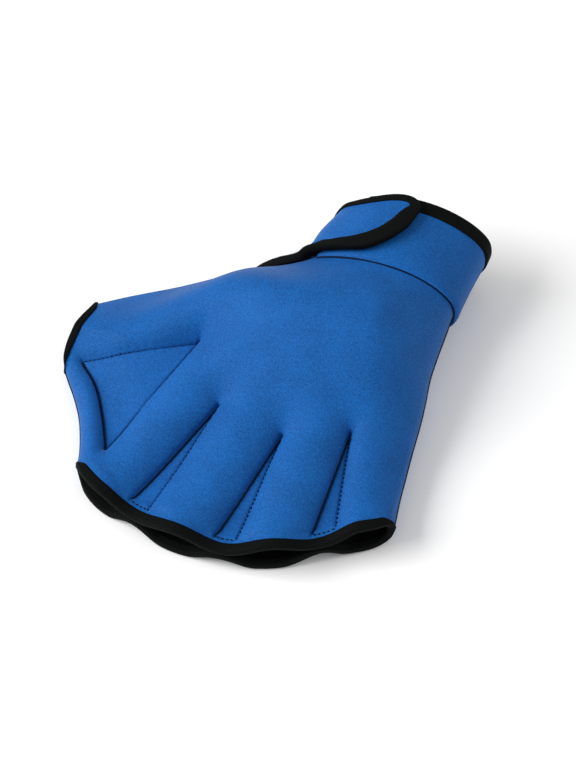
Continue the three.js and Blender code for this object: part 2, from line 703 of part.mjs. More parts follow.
function thumbStations() {
  const edge = planGrid.map((row) => row[0]).filter((point, i) => {
    return rowShares[i] > THUMB_TOP_ROW - NEARLY && rowShares[i] < THUMB_END_ROW + NEARLY;
  });
  const first = { line: thumbSideEdge, side: 1, back: alongFromEnd(thumbSideEdge, CORNER_WIDTH, false) };
  const second = { line: webEdge, side: 1, back: alongFromEnd(webEdge, CORNER_WIDTH, true) };
  return mouthStations(edge, first, second, (point, length, whole) => {
    return blend(towards(edge[0], first.back), towards(edge.at(-1), second.back), length / whole);
  });
}

// The wrist is one tube. Its turn runs from 0 at the thumb side seam over the back to 180 at the
// little finger side and on under the palm.
function edgeAt(line, y) {
  const after = Math.max(1, line.findIndex(([, lineY]) => lineY <= y));
  const [[ax, ay], [bx, by]] = [line[after - 1], line[after]];
  return mix(ax, bx, (y - ay) / (by - ay));
}

const wristX = (turn, y) => {
  return mix(edgeAt(thumbSideEdge, y), edgeAt(littleSideEdge, y), (1 - Math.cos(turn * DEGREE)) / 2);
};

function wristSurface(turn, y) {
  const x = wristX(turn, y);
  const onBack = ((turn % FULL_TURN) + FULL_TURN) % FULL_TURN <= FULL_TURN / 2;
  return place([x, y], onBack ? backHeight([x, y]) : palmHeight([x, y]));
}

function wristPoint(turn, y, lift) {
  const around = wristSurface(turn + 1, y).sub(wristSurface(turn - 1, y));
  const along = wristSurface(turn, y + 0.5).sub(wristSurface(turn, y - 0.5));
  const normal = around.cross(along).normalize();
  return wristSurface(turn, y).addScaledVector(normal, lift);
}

const wristPair = (turn, y, lift) => {
  return { outer: wristPoint(turn, y, lift + WALL), inner: wristPoint(turn, y, lift) };
};
const spread = (from, to, steps) => Array.from({ length: steps + 1 }, (_, i) => mix(from, to, i / steps));

const CUFF_END_TURN = FULL_TURN + STRAP_START_TURN - SLIT_GAP_TURN;
const rimReachAt = (turn) => RIM_REACH + RIM_SLANT * (1 + Math.cos(turn * DEGREE)) / 2;
const wristSeamY = (turn) => cuffSeamY(wristX(turn, -CUFF_REACH));
const cuffTurns = spread(SLIT_TURN, CUFF_END_TURN, 40);

function cuffMesh(color) {
  const grid = spread(0, 1, 4).map((t) => cuffTurns.map((turn) => {
    return wristPair(turn, mix(wristSeamY(turn), -rimReachAt(turn) - TAPE_STACK, t), LAP_GAP);
  }));
  return sheetMesh('wrist_cuff', color, grid.map((row) => row.map((p) => p.outer)),
    grid.map((row) => row.map((p) => p.inner)));
}

function wristTapeMesh(color) {
  const stations = cuffTurns.map((turn) => {
    const rimY = -rimReachAt(turn) - TAPE_STACK;
    return tapeStation(wristPair(turn, rimY, LAP_GAP), wristPair(turn, rimY - WIDE_TAPE_WIDTH, LAP_GAP));
  });
  return tapeMesh('wrist_binding', color, stations, false);
}

// Outline of the strap: at is a share of the way from its root to its tip, the edges are shares of
// the cuff length, measured from the highest reach of the wrist rim
const STRAP_OUTLINE = [
  { at: 0.00, lower: 1.312, upper: 0.325 },
  { at: 0.28, lower: 1.226, upper: 0.325 },
  { at: 0.47, lower: 1.168, upper: 0.340 },
  { at: 0.60, lower: 1.081, upper: 0.285 },
  { at: 0.72, lower: 1.023, upper: 0.212 },
  { at: 0.82, lower: 0.955, upper: 0.160 },
  { at: 0.90, lower: 0.849, upper: 0.145 },
  { at: 0.96, lower: 0.709, upper: 0.170 },
  { at: 1.00, lower: 0.531, upper: 0.241 },
];
const STRAP_COLUMNS = 18;
const STRAP_ROWS = 6;
const strapLift = (turn) => mix(ROOT_LIFT, STRAP_LIFT, ease(ROOT_SLOPE.fromTurn, ROOT_SLOPE.toTurn, turn));
const strapPair = (turn, y) => wristPair(turn, y, strapLift(turn));

function strapPlan() {
  const columns = spread(0, 1, STRAP_COLUMNS).map((t) => Math.sin(t * Math.PI / 2) ** 0.8);
  return columns.map((at) => {
    const turn = mix(STRAP_START_TURN, STRAP_TIP_TURN, at);
    const lower = -RIM_REACH - CUFF_LENGTH * readTable(STRAP_OUTLINE, 'at', 'lower', at) + TAPE_STACK;
    const upper = -RIM_REACH - CUFF_LENGTH * readTable(STRAP_OUTLINE, 'at', 'upper', at) - TAPE_STACK;
    return spread(lower, upper, STRAP_ROWS).map((y) => ({ turn, y }));
  });
}
const strapGrid = strapPlan();

function strapMesh(color) {
  const pairs = strapGrid.map((column) => column.map(({ turn, y }) => strapPair(turn, y)));
  return sheetMesh('closure_strap', color, pairs.map((column) => column.map((p) => p.outer)),
    pairs.map((column) => column.map((p) => p.inner)));
}

function strapTapeMesh(color) {
  const lower = strapGrid.map((column) => column[0]);
  const upper = strapGrid.map((column) => column.at(-1)).reverse();
  const edge = [...lower, ...strapGrid.at(-1).slice(1, -1), ...upper];
  const stations = edge.map((here, i) => {
    const before = edge[Math.max(0, i - 1)];
    const after = edge[Math.min(edge.length - 1, i + 1)];
    const perTurn = wristSurface(here.turn + 1, here.y).distanceTo(wristSurface(here.turn - 1, here.y)) / 2;
    const dx = (after.turn - before.turn) * perTurn;
    const dy = after.y - before.y;
    const scale = WIDE_TAPE_WIDTH / Math.hypot(dx, dy);
    const back = { turn: here.turn - dy * scale / perTurn, y: here.y + dx * scale };
    return tapeStation(strapPair(here.turn, here.y), strapPair(back.turn, back.y));
  });
  return tapeMesh('strap_binding', color, stations, false);
}

// Plain fastener pad between the strap and the cuff
function patchMesh(color) {
  const rows = spread(...PATCH_SHARES, PATCH_STEPS.along).map((share) => -RIM_REACH - CUFF_LENGTH * share);
  const turns = spread(...PATCH_TURNS, PATCH_STEPS.around);
  const grid = (lift) => rows.map((y) => turns.map((turn) => wristPoint(turn, y, lift)));
  const low = LAP_GAP + WALL + SEAM_GAP;
  const high = STRAP_LIFT - SEAM_GAP;
  return sheetMesh('hook_patch', color, grid(high), grid(low));
}

const BLUE = 0x2a66b4;
const BLACK = 0x121414;
const glove = new THREE.Group();
glove.add(panelMesh('back_panel', BLUE, 1));
glove.add(panelMesh('palm_panel', BLUE, -1));
glove.add(cuffMesh(BLUE));
glove.add(strapMesh(BLUE));
glove.add(patchMesh(BLACK));
glove.add(tapeMesh('finger_binding', BLACK, fingerStations(), true));
glove.add(tapeMesh('thumb_binding', BLACK, thumbStations(), true));
glove.add(wristTapeMesh(BLACK));
glove.add(strapTapeMesh(BLACK));

export default glove;
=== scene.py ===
"""Webbed swim glove: knitted foam cloth, black lining, folded tapes and stitches over the CAD model."""
import logging
from dataclasses import dataclass, field
from enum import Enum
from math import cos, degrees, pi, radians, sin

import bpy
import numpy as np
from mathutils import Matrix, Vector


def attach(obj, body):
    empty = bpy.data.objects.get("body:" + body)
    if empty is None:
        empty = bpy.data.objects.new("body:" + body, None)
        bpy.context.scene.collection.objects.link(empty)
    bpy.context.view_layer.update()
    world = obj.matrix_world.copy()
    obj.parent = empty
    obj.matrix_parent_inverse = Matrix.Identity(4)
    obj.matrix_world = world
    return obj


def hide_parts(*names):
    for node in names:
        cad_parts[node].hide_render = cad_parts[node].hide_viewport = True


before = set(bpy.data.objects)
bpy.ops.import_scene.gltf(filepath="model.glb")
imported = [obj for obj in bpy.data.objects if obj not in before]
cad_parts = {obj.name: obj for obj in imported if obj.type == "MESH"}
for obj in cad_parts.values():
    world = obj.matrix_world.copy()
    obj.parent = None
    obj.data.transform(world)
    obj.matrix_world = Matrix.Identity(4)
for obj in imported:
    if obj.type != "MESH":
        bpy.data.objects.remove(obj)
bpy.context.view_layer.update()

log = logging.getLogger("swim_glove")
MM = 0.001
NOISE_WAVES = 9
TINY = 1e-12
Span = tuple[float, float]
Triple = tuple[float, float, float]
Colour = Triple
Rows = tuple[tuple[float, ...], ...]
Value = bpy.types.NodeSocket | float

# Tables of the plan: reach is a share of the finger reach, side a share of the named spread
MOUTH_EDGE: Rows = (
    (-1.00, 0.850), (-0.86, 0.878), (-0.71, 0.897), (-0.56, 0.917), (-0.44, 0.937), (-0.30, 0.957),
    (-0.10, 0.977), (0.12, 0.990), (0.30, 0.998), (0.53, 0.997), (0.74, 1.000), (0.88, 0.992), (1.00, 0.975),
)
THUMB_SIDE_EDGE: Rows = (
    (0.260, 0.130), (0.310, 0.153), (0.350, 0.178), (0.385, 0.199), (0.418, 0.214), (0.448, 0.285),
    (0.480, 0.440), (0.508, 0.545), (0.535, 0.650), (0.571, 0.778), (0.600, 0.876), (0.631, 0.970),
)
THUMB_MOUTH_EDGE: Rows = (
    (0.631, 0.970), (0.659, 0.966), (0.709, 0.970), (0.740, 0.968), (0.762, 0.956), (0.774, 0.940),
)
WEB_EDGE: Rows = (
    (0.774, 0.940), (0.787, 0.912), (0.818, 0.839), (0.851, 0.775), (0.885, 0.727), (0.912, 0.696),
    (0.935, 0.678), (0.990, 0.650),
)
LITTLE_SIDE_EDGE: Rows = (
    (0.260, 0.757), (0.291, 0.760), (0.337, 0.755), (0.383, 0.746), (0.425, 0.752), (0.464, 0.762),
    (0.502, 0.772), (0.540, 0.789), (0.579, 0.825), (0.617, 0.857), (0.655, 0.881), (0.693, 0.905),
    (0.732, 0.933), (0.770, 0.960), (0.814, 1.000), (0.865, 1.050),
)
WEB_THUMB_LINE: Rows = ((0.652, 0.462), (0.692, 0.625), (0.723, 0.750), (0.752, 0.887))
WEB_OUTER_LINE: Rows = ((0.752, 0.887), (0.788, 0.777), (0.838, 0.684), (0.892, 0.602))
WEB_FINGER_LINE: Rows = ((0.652, 0.462), (0.892, 0.602))
# Darts: turn as a share of the finger angle, length as a share of the dart length, lean of the tip
DARTS: Rows = ((1.00, 0.93, -0.70), (-0.02, 0.86, -0.70), (-1.03, 0.76, 0.04))
SEAM_HEIGHTS: Rows = (
    (0.29, 1.000), (0.40, 0.900), (0.45, 0.740), (0.50, 0.540), (0.57, 0.300), (0.65, 0.180),
    (0.75, 0.060), (0.87, 0.010), (1.00, 0.000),
)
WRIST_SHARES: Rows = ((0.29, 1.0), (0.42, 1.0), (0.50, 0.4), (0.57, 0.0), (0.65, 0.0), (1.00, 0.0))
PALM_SHARES: Rows = (
    (0.29, 0.00), (0.42, 0.10), (0.50, 0.70), (0.57, 1.00), (0.65, 0.50), (0.73, 0.10), (0.82, 0.04), (1.00, 0.00),
)
# Strap outline: share of the way to the tip, lower edge, upper edge, as shares of the cuff length
STRAP_OUTLINE: Rows = (
    (0.00, 1.312, 0.325), (0.28, 1.226, 0.325), (0.47, 1.168, 0.340), (0.60, 1.081, 0.285),
    (0.72, 1.023, 0.212), (0.82, 0.955, 0.160), (0.90, 0.849, 0.145), (0.96, 0.709, 0.170), (1.00, 0.531, 0.241),
)


def ease(start: float, end: float, value: np.ndarray) -> np.ndarray:
    """Smooth step from 0 at start to 1 at end."""
    t = np.clip((value - start) / (end - start), 0.0, 1.0)
    return t * t * (3 - 2 * t)


def mix(a: np.ndarray, b: np.ndarray, t: np.ndarray) -> np.ndarray:
    """Straight blend of two values."""
    return a + (b - a) * t


def read_table(rows: Rows, column: int, key: np.ndarray) -> np.ndarray:
    """Smooth value through the rows of a table, flat beyond both ends.

    Args:
        rows: Table whose first column is the key.
        column: Column that is read.
        key: Keys to look up.

    Returns:
        One value for each key.
    """
    keys = np.array([row[0] for row in rows])
    values = np.array([row[column] for row in rows])
    last = len(rows) - 1
    low = np.maximum(np.arange(last + 1) - 1, 0)
    high = np.minimum(np.arange(last + 1) + 1, last)
    slopes = (values[high] - values[low]) / (keys[high] - keys[low])
    key = np.clip(key, keys[0], keys[-1])
    at = np.clip(np.searchsorted(keys, key, side="left") - 1, 0, last - 1)
    span = keys[at + 1] - keys[at]
    t = (key - keys[at]) / span
    t2, t3 = t * t, t * t * t
    return (
        values[at] * (2 * t3 - 3 * t2 + 1) + slopes[at] * span * (t3 - 2 * t2 + t)
        + values[at + 1] * (3 * t2 - 2 * t3) + slopes[at + 1] * span * (t3 - t2)
    )


def curve_points(control: np.ndarray, steps: int) -> np.ndarray:
    """Centripetal curve through the control points.

    Args:
        control: Points that the curve passes through, one a row.
        steps: Pieces between two control points.

    Returns:
        Points along the curve.
    """
    ends = (2 * control[0] - control[1], 2 * control[-1] - control[-2])
    p = np.vstack([ends[0], control, ends[1]])
    out = []
    for i in range(1, len(p) - 2):
        gaps = [max(float(((p[i + k] - p[i + k - 1]) ** 2).sum()) ** 0.25, 1e-9) for k in (0, 1, 2)]
        d0, d1, d2 = gaps
        t1 = ((p[i] - p[i - 1]) / d0 - (p[i + 1] - p[i - 1]) / (d0 + d1) + (p[i + 1] - p[i]) / d1) * d1
        t2 = ((p[i + 1] - p[i]) / d1 - (p[i + 2] - p[i]) / (d1 + d2) + (p[i + 2] - p[i + 1]) / d2) * d1
        for k in range(steps):
            w = k / steps
            out.append(
                p[i] + t1 * w + (-3 * p[i] + 3 * p[i + 1] - 2 * t1 - t2) * w * w
                + (2 * p[i] - 2 * p[i + 1] + t1 + t2) * w ** 3
            )
    out.append(control[-1])
    return np.array(out)


def unit(vectors: np.ndarray) -> np.ndarray:
    """Vectors of length 1 in the same directions."""
    return vectors / np.maximum(np.linalg.norm(vectors, axis=-1, keepdims=True), TINY)


def square_to(vectors: np.ndarray, along: np.ndarray) -> np.ndarray:
    """Unit vectors square to a line's directions, as near as can be to the given ones."""
    return unit(vectors - along * np.einsum("ij,ij->i", vectors, along)[:, None])


def lengths_along(line: np.ndarray) -> np.ndarray:
    """Length of a line up to each of its points."""
    return np.concatenate([[0], np.cumsum(np.linalg.norm(np.diff(line, axis=0), axis=1))])


def points_at(line: np.ndarray, at: np.ndarray) -> np.ndarray:
    """Points of a line at lengths along it."""
    lengths = lengths_along(line)
    return np.stack([np.interp(at, lengths, line[:, k]) for k in range(line.shape[1])], axis=1)


def resample(line: np.ndarray, spacing: float) -> np.ndarray:
    """Points of a line at an even spacing, its two ends kept."""
    whole = lengths_along(line)[-1]
    count = max(2, int(round(whole / spacing)) + 1)
    return points_at(line, np.linspace(0, whole, count))


def running_mean(values: np.ndarray, half: int, **padding: str) -> np.ndarray:
    """Mean of each value and its neighbours, half of them on either side."""
    window = np.ones(2 * half + 1) / (2 * half + 1)
    return np.convolve(np.pad(values, half, **padding), window, mode="valid")


def line_distance(points: np.ndarray, line: np.ndarray) -> tuple[np.ndarray, np.ndarray]:
    """Distance from plan points to a line, and the length along the line at the nearest place.

    Args:
        points: Plan points, one a row.
        line: Points of the line, one a row.

    Returns:
        The distances, and the lengths along the line.
    """
    best = np.full(len(points), np.inf)
    along = np.zeros(len(points))
    start = 0.0
    for a, b in zip(line[:-1], line[1:]):
        d = b - a
        size = float(np.hypot(*d))
        if size < 1e-9:
            continue
        rel = points - a
        t = np.clip((rel @ d) / size ** 2, 0, 1)
        dist = np.hypot(rel[:, 0] - t * d[0], rel[:, 1] - t * d[1])
        closer = dist < best
        best = np.where(closer, dist, best)
        along = np.where(closer, start + t * size, along)
        start += size
    return best, along


def is_inside(points: np.ndarray, outline: np.ndarray) -> np.ndarray:
    """Whether plan points lie inside a closed outline."""
    inside = np.zeros(len(points), bool)
    for (ax, ay), (bx, by) in zip(outline, np.roll(outline, 1, axis=0)):
        crosses = (ay > points[:, 1]) != (by > points[:, 1])
        if by != ay:
            inside ^= crosses & (points[:, 0] < (bx - ax) * (points[:, 1] - ay) / (by - ay) + ax)
    return inside


class Line(Enum):
    """The two looks of a sewn line: a fold, whose dark line is painted shade from a navy cord laid in its crease,
    or a row of stitches.
    """

    FOLD = "fold"
    STITCH = "stitch"


class Side(Enum):
    """The two cloth panels of the glove: 1 faces up, -1 down."""

    BACK = 1
    PALM = -1

    @property
    def key(self) -> str:
        """Name of the panel among the heights and in the names of its pieces."""
        return self.name.lower()


@dataclass
class GlovePlan:
    """Plan of the glove round the fan point behind the wrist, in millimetres and degrees."""

    wall: float = 2.0
    panel_gap: float = 0.15
    rim_reach: float = 70.0
    rim_slant: float = 7.0
    cuff_length: float = 42.5
    seam_slant: float = 0.11
    seam_pivot: float = 10.0
    lap_length: float = 5.0
    finger_reach: float = 261.0
    rest_reach: float = 148.0
    thumb_spread: float = 109.0
    little_spread: float = 63.0
    fan_half_angle: float = 17.0
    finger_angle: float = 9.0
    dart_length: float = 60.0
    dart_width: float = 9.0
    dart_inset: float = 6.0
    lines: dict[str, np.ndarray] = field(default_factory=dict)

    def __post_init__(self) -> None:
        """Works out the lines of the plan."""
        thumb, little = -self.thumb_spread, self.little_spread
        self.lines = {
            "thumb_side": self.smooth_line(THUMB_SIDE_EDGE, thumb),
            "thumb_mouth": self.smooth_line(THUMB_MOUTH_EDGE, thumb),
            "web_thumb": self.smooth_line(WEB_THUMB_LINE, thumb),
            "web_outer": self.smooth_line(WEB_OUTER_LINE, thumb),
            "web_finger": self.smooth_line(WEB_FINGER_LINE, thumb),
            "web_edge": self.cut_at_mouth(self.smooth_line(WEB_EDGE, thumb)),
            "little_side": self.cut_at_mouth(self.smooth_line(LITTLE_SIDE_EDGE, little)),
        }
        self.darts = [self.dart(*row) for row in DARTS]

    @property
    def cuff_reach(self) -> float:
        """Reach of the cuff's seam."""
        return self.rim_reach + self.cuff_length

    @property
    def lap_reach(self) -> float:
        """Reach where the panels end under the cuff."""
        return self.cuff_reach - self.lap_length

    def cuff_seam_y(self, x: np.ndarray) -> np.ndarray:
        """Plan height of the cuff's slanting seam."""
        return self.seam_slant * (x - self.seam_pivot) - self.cuff_reach

    def smooth_line(self, rows: Rows, spread: float) -> np.ndarray:
        """Curve through the rows of an edge table."""
        control = np.array([(spread * side, -self.finger_reach * reach) for reach, side in rows])
        return curve_points(control, 4)

    def mouth_reach(self, turn: np.ndarray) -> np.ndarray:
        """Reach of the finger mouth at a turn."""
        return self.finger_reach * read_table(MOUTH_EDGE, 1, np.asarray(turn, float) / self.fan_half_angle)

    def cut_at_mouth(self, line: np.ndarray) -> np.ndarray:
        """The line up to where it meets the finger mouth."""
        beyond = reach_of(line) - self.mouth_reach(turn_of(line))
        at = int(np.argmax(beyond > 0))
        t = beyond[at - 1] / (beyond[at - 1] - beyond[at])
        return np.vstack([line[:at], mix(line[at - 1], line[at], t)])

    def dart(self, turn_share: float, length: float, lean: float) -> dict[str, np.ndarray | float]:
        """Tip and bottom ends of one dart.

        Args:
            turn_share: Turn as a share of the finger angle.
            length: Length as a share of the dart length.
            lean: Sideways move of the tip as a share of half the width.

        Returns:
            The dart's turn, tip and two bottom ends.
        """
        turn = turn_share * self.finger_angle
        bottom = float(self.mouth_reach(turn)) - self.dart_inset
        half = degrees(self.dart_width / 2 / bottom)
        ends = []
        for at in (turn + half, turn - half):
            ends.append(polar(float(self.mouth_reach(at)) - self.dart_inset, at))
        tip = polar(bottom - self.dart_length * length, turn + lean * half)
        return {"turn": turn, "tip": tip, "thumb": ends[0], "little": ends[1]}

    def place(self, points: np.ndarray, z: np.ndarray) -> np.ndarray:
        """Plan points and heights as points of the part, still in millimetres."""
        return np.stack([points[:, 0], points[:, 1] + self.rest_reach, z], axis=1)


def polar(reach: float, turn: float) -> np.ndarray:
    """Plan point at a reach and turn from the fan point."""
    return np.array([-reach * sin(radians(turn)), -reach * cos(radians(turn))])


def reach_of(points: np.ndarray) -> np.ndarray:
    """Distance from the fan point."""
    return np.hypot(points[..., 0], points[..., 1])


def turn_of(points: np.ndarray) -> np.ndarray:
    """Turn about the fan point, in degrees, positive towards the thumb."""
    return np.degrees(np.arctan2(-points[..., 0], -points[..., 1]))


@dataclass
class FoamForm:
    """Height of the foam cloth over and under its seams, in millimetres."""

    plan: GlovePlan
    wrist_seam_height: float = 24.5
    finger_seam_height: float = 9.3
    web_lift: float = 7.0
    wrist_swell: float = 17.0
    palm_swell: float = 33.0
    finger_swell: float = 6.2
    thumb_swell: float = 3.2
    mouth_rise: float = 8.2
    mouth_part: float = 1.0
    floor_round: float = 1.5
    cuff_stack: float = 3.5
    tape_stack: float = 1.15
    web_from_side: Span = (0.0, 30.0)
    web_start: Span = (0.42, 0.56)
    web_end: Span = (0.72, 0.96)
    lap_fade: Span = (15.0, 2.0)
    tape_fade: Span = (14.0, 6.0)
    thumb_blend: Span = (18.0, 29.0)
    mouth_blend: Span = (10.0, 6.0)
    thumb_fan: Span = (16.2, 14.0)
    little_fan: Span = (18.0, 16.5)
    nearest: float = 1e-3

    def flat_outlines(self) -> list[np.ndarray]:
        """Outlines of the flat places: the three darts and the web."""
        lines = self.plan.lines
        web = np.vstack([lines["web_thumb"], lines["web_outer"][1:], lines["web_finger"][1:-1][::-1]])
        return [np.array([d["tip"], d["thumb"], d["little"]]) for d in self.plan.darts] + [web]

    def side_seams(self) -> list[np.ndarray]:
        """The three seams that join the back to the palm."""
        return [self.plan.lines[name] for name in ("thumb_side", "web_edge", "little_side")]

    def seam_height(self, points: np.ndarray, side: np.ndarray) -> np.ndarray:
        """Height of the plane where the two panels are sewn together.

        Args:
            points: Plan points.
            side: Their distance to the nearest side seam.

        Returns:
            The heights.
        """
        share = reach_of(points) / self.plan.finger_reach
        lifted = mix(self.finger_seam_height, self.wrist_seam_height, read_table(SEAM_HEIGHTS, 1, share))
        web = ease(*self.web_from_side, side) * ease(*self.web_start, share) * (1 - ease(*self.web_end, share))
        return lifted + self.web_lift * web

    def mouth_wave(self, turn: np.ndarray) -> tuple[np.ndarray, np.ndarray]:
        """Wave of the finger mouth.

        Args:
            turn: Turns about the fan point.

        Returns:
            The wave, 1 over a finger and 0 at a dart, and how far the two lips part between fingers.
        """
        sides = [turn_of(self.plan.lines[name][-1]) for name in ("web_edge", "little_side")]
        ends = [sides[0], *(dart["turn"] for dart in self.plan.darts), sides[1]]
        wave = np.zeros_like(turn)
        parted = np.zeros_like(turn)
        for at in range(4):
            t = np.clip((ends[at] - turn) / (ends[at] - ends[at + 1]), 0, 1)
            low = -np.inf if at == 3 else ends[at + 1]
            high = np.inf if at == 0 else ends[at]
            here = (turn > low) & (turn <= high)
            hump = np.sin(pi * t) ** 2
            by_seam = ((at == 0) & (t < 0.5)) | ((at == 3) & (t > 0.5))
            rounded = np.sqrt(np.maximum(0, 1 - (1 - 2 * t) ** 2))
            wave = np.where(here, np.where(by_seam, rounded, hump), wave)
            parted = np.where(here, np.where(by_seam, 0, 1 - hump), parted)
        return wave, parted

    def floor_at(self, points: np.ndarray) -> np.ndarray:
        """Lowest height of the palm: the cuff lies under it at the wrist, the tape at the mouth."""
        plan = self.plan
        lapped = ease(*self.lap_fade, plan.cuff_seam_y(points[:, 0]) - points[:, 1])
        to_mouth = plan.mouth_reach(turn_of(points)) - reach_of(points)
        return plan.panel_gap + self.cuff_stack * lapped + self.tape_stack * ease(*self.tape_fade, to_mouth)

    def heights(self, points: np.ndarray) -> dict[str, np.ndarray]:
        """Heights of both panels.

        Args:
            points: Plan points, one a row.

        Returns:
            Arrays named back, palm, seam and side, the distance to the nearest side seam.
        """
        plan = self.plan
        seam_terms = [line_distance(points, seam)[0] for seam in self.side_seams()]
        side = np.minimum.reduce(seam_terms)
        flats = []
        for outline in self.flat_outlines():
            away = line_distance(points, np.vstack([outline, outline[:1]]))[0]
            flats.append(np.where(is_inside(points, outline), 0.0, away))
        total = sum(1 / np.maximum(away, self.nearest) ** 2 for away in [*seam_terms, *flats])
        share = reach_of(points) / plan.finger_reach
        turn = turn_of(points)
        swell = (
            self.finger_swell
            + (self.wrist_swell - self.finger_swell) * read_table(WRIST_SHARES, 1, share)
            + (self.palm_swell - self.finger_swell) * read_table(PALM_SHARES, 1, share)
        )
        swell = mix(swell, self.thumb_swell, ease(*self.thumb_blend, turn))
        swollen = np.sqrt(swell / np.sqrt(total))
        to_mouth = plan.mouth_reach(turn) - reach_of(points)
        fan = np.where(turn > 0, ease(*self.thumb_fan, turn), ease(*self.little_fan, -turn))
        near_mouth = ease(*self.mouth_blend, to_mouth) * fan
        wave, parted = self.mouth_wave(turn)
        edge = np.minimum(side, plan.wall)
        edge_round = np.sqrt(np.maximum(plan.wall ** 2 - (plan.wall - edge) ** 2, 0))
        waved = (self.mouth_rise * wave + self.mouth_part * parted) * edge_round / plan.wall
        rise = edge_round + mix(swollen, waved, near_mouth)
        seam = self.seam_height(points, side)
        floor = self.floor_at(points)
        low = seam - rise
        over = np.clip((low - floor + self.floor_round) / (2 * self.floor_round), 0, 1)
        palm = np.where(low > floor + self.floor_round, low, floor + self.floor_round * over * over)
        return {"back": seam + rise, "palm": palm, "seam": seam, "side": side}


@dataclass
class PanelGrid:
    """Plan points of a panel in rows from the lap to the finger mouth and columns from thumb to little side."""

    plan: GlovePlan
    column_steps: tuple[int, ...] = (60, 28, 44, 16, 44, 16, 44, 16, 48)
    crowding: float = 0.8
    row_spacing: float = 0.62
    web_shares: Span = (0.10, 0.16)
    dart_shares: tuple[Span, ...] = ((0.35, 0.39), (0.55, 0.59), (0.75, 0.79))
    web_turn_gap: float = 0.4
    fine: float = 0.25

    def lap_reach_at(self, turn: np.ndarray) -> np.ndarray:
        """Reach of the first row."""
        plan = self.plan
        across = np.cos(np.radians(turn)) - plan.seam_slant * np.sin(np.radians(turn))
        return (plan.lap_reach + plan.seam_slant * plan.seam_pivot) / across

    def row_share(self, points: np.ndarray) -> np.ndarray:
        """Share of the way from the first row to the finger mouth."""
        turn = turn_of(points)
        lap = self.lap_reach_at(turn)
        return (reach_of(points) - lap) / (self.plan.mouth_reach(turn) - lap)

    def at_lap(self, share: float) -> np.ndarray:
        """Point of the first row, as a share of its length."""
        turns = []
        for name in ("thumb_side", "little_side"):
            line = resample(self.plan.lines[name], 2 * self.fine)
            turns.append(float(np.interp(0, self.row_share(line), turn_of(line))))
        turn = mix(turns[0], turns[1], share)
        return polar(float(self.lap_reach_at(turn)), turn)

    def at_mouth(self, turn: float) -> np.ndarray:
        """Point of the finger mouth."""
        return polar(float(self.plan.mouth_reach(turn)), turn)

    def key_lines(self) -> list[np.ndarray]:
        """Lines that the columns follow: the sides, the web and the darts."""
        lines = self.plan.lines
        outer_end = float(turn_of(lines["web_outer"][-1]))
        keys = [np.vstack([lines["thumb_side"], lines["thumb_mouth"][1:], lines["web_edge"][1:]])]
        first, second = (self.at_lap(share) for share in self.web_shares)
        outer = self.at_mouth(outer_end + self.web_turn_gap)
        inner = self.at_mouth(outer_end - self.web_turn_gap)
        keys.append(np.vstack([first, lines["web_thumb"], lines["web_outer"][1:], outer]))
        keys.append(np.vstack([second, lines["web_finger"], inner]))
        for dart, shares in zip(self.plan.darts, self.dart_shares):
            for end, share in zip(("thumb", "little"), shares):
                mouth = self.at_mouth(float(turn_of(dart[end])))
                keys.append(np.vstack([self.at_lap(share), dart["tip"], dart[end], mouth]))
        keys.append(lines["little_side"])
        return keys

    def build(self) -> tuple[np.ndarray, np.ndarray]:
        """Lays out the grid.

        Returns:
            The plan points, rows by columns by 2, and the row shares.
        """
        plan = self.plan
        mouth = plan.lines["thumb_mouth"]
        keys = sorted([0.0, float(self.row_share(mouth[:1])[0]), float(self.row_share(mouth[-1:])[0]), 1.0])
        length = float(plan.mouth_reach(0.0)) - plan.lap_reach
        shares = [0.0]
        for low, high in zip(keys[:-1], keys[1:]):
            count = max(2, int(round((high - low) * length / self.row_spacing)))
            shares.extend(np.linspace(low, high, count + 1)[1:])
        shares = np.array(shares)
        turns = []
        for line in self.key_lines():
            fine = resample(line, self.fine)
            along = self.row_share(fine)
            rising = np.maximum.accumulate(along + np.arange(len(along)) * 1e-9)
            turns.append(np.interp(shares, rising, turn_of(fine)))
        columns = []
        for part, steps in enumerate(self.column_steps):
            t = np.arange(steps) / steps
            t = mix(t, (1 - np.cos(pi * t)) / 2, self.crowding)
            columns.append(turns[part][:, None] + (turns[part + 1] - turns[part])[:, None] * t)
        columns.append(turns[-1][:, None])
        turn = np.hstack(columns)
        reach = mix(self.lap_reach_at(turn), plan.mouth_reach(turn), shares[:, None])
        angle = np.radians(turn)
        return np.stack([-reach * np.sin(angle), -reach * np.cos(angle)], axis=2), shares


def grid_normals(points: np.ndarray, sign: float) -> np.ndarray:
    """Unit normals of a grid of points, from its rows and columns."""
    normal = unit(np.cross(np.gradient(points, axis=0), np.gradient(points, axis=1)))
    return normal * np.sign(np.median(normal[..., 2])) * sign


def smooth_noise(points: np.ndarray, wavelength: float, seed: int) -> np.ndarray:
    """Slow wander of the cloth, from -1 to 1, as a sum of seeded waves."""
    rng = np.random.default_rng(seed)
    total = np.zeros(points.shape[:-1])
    for _ in range(NOISE_WAVES):
        direction = rng.normal(size=points.shape[-1])
        direction *= 2 * pi / wavelength / np.linalg.norm(direction) * rng.uniform(0.6, 1.5)
        total += np.sin(points @ direction + rng.uniform(0, 2 * pi))
    return total * 2 / NOISE_WAVES


# Meshes


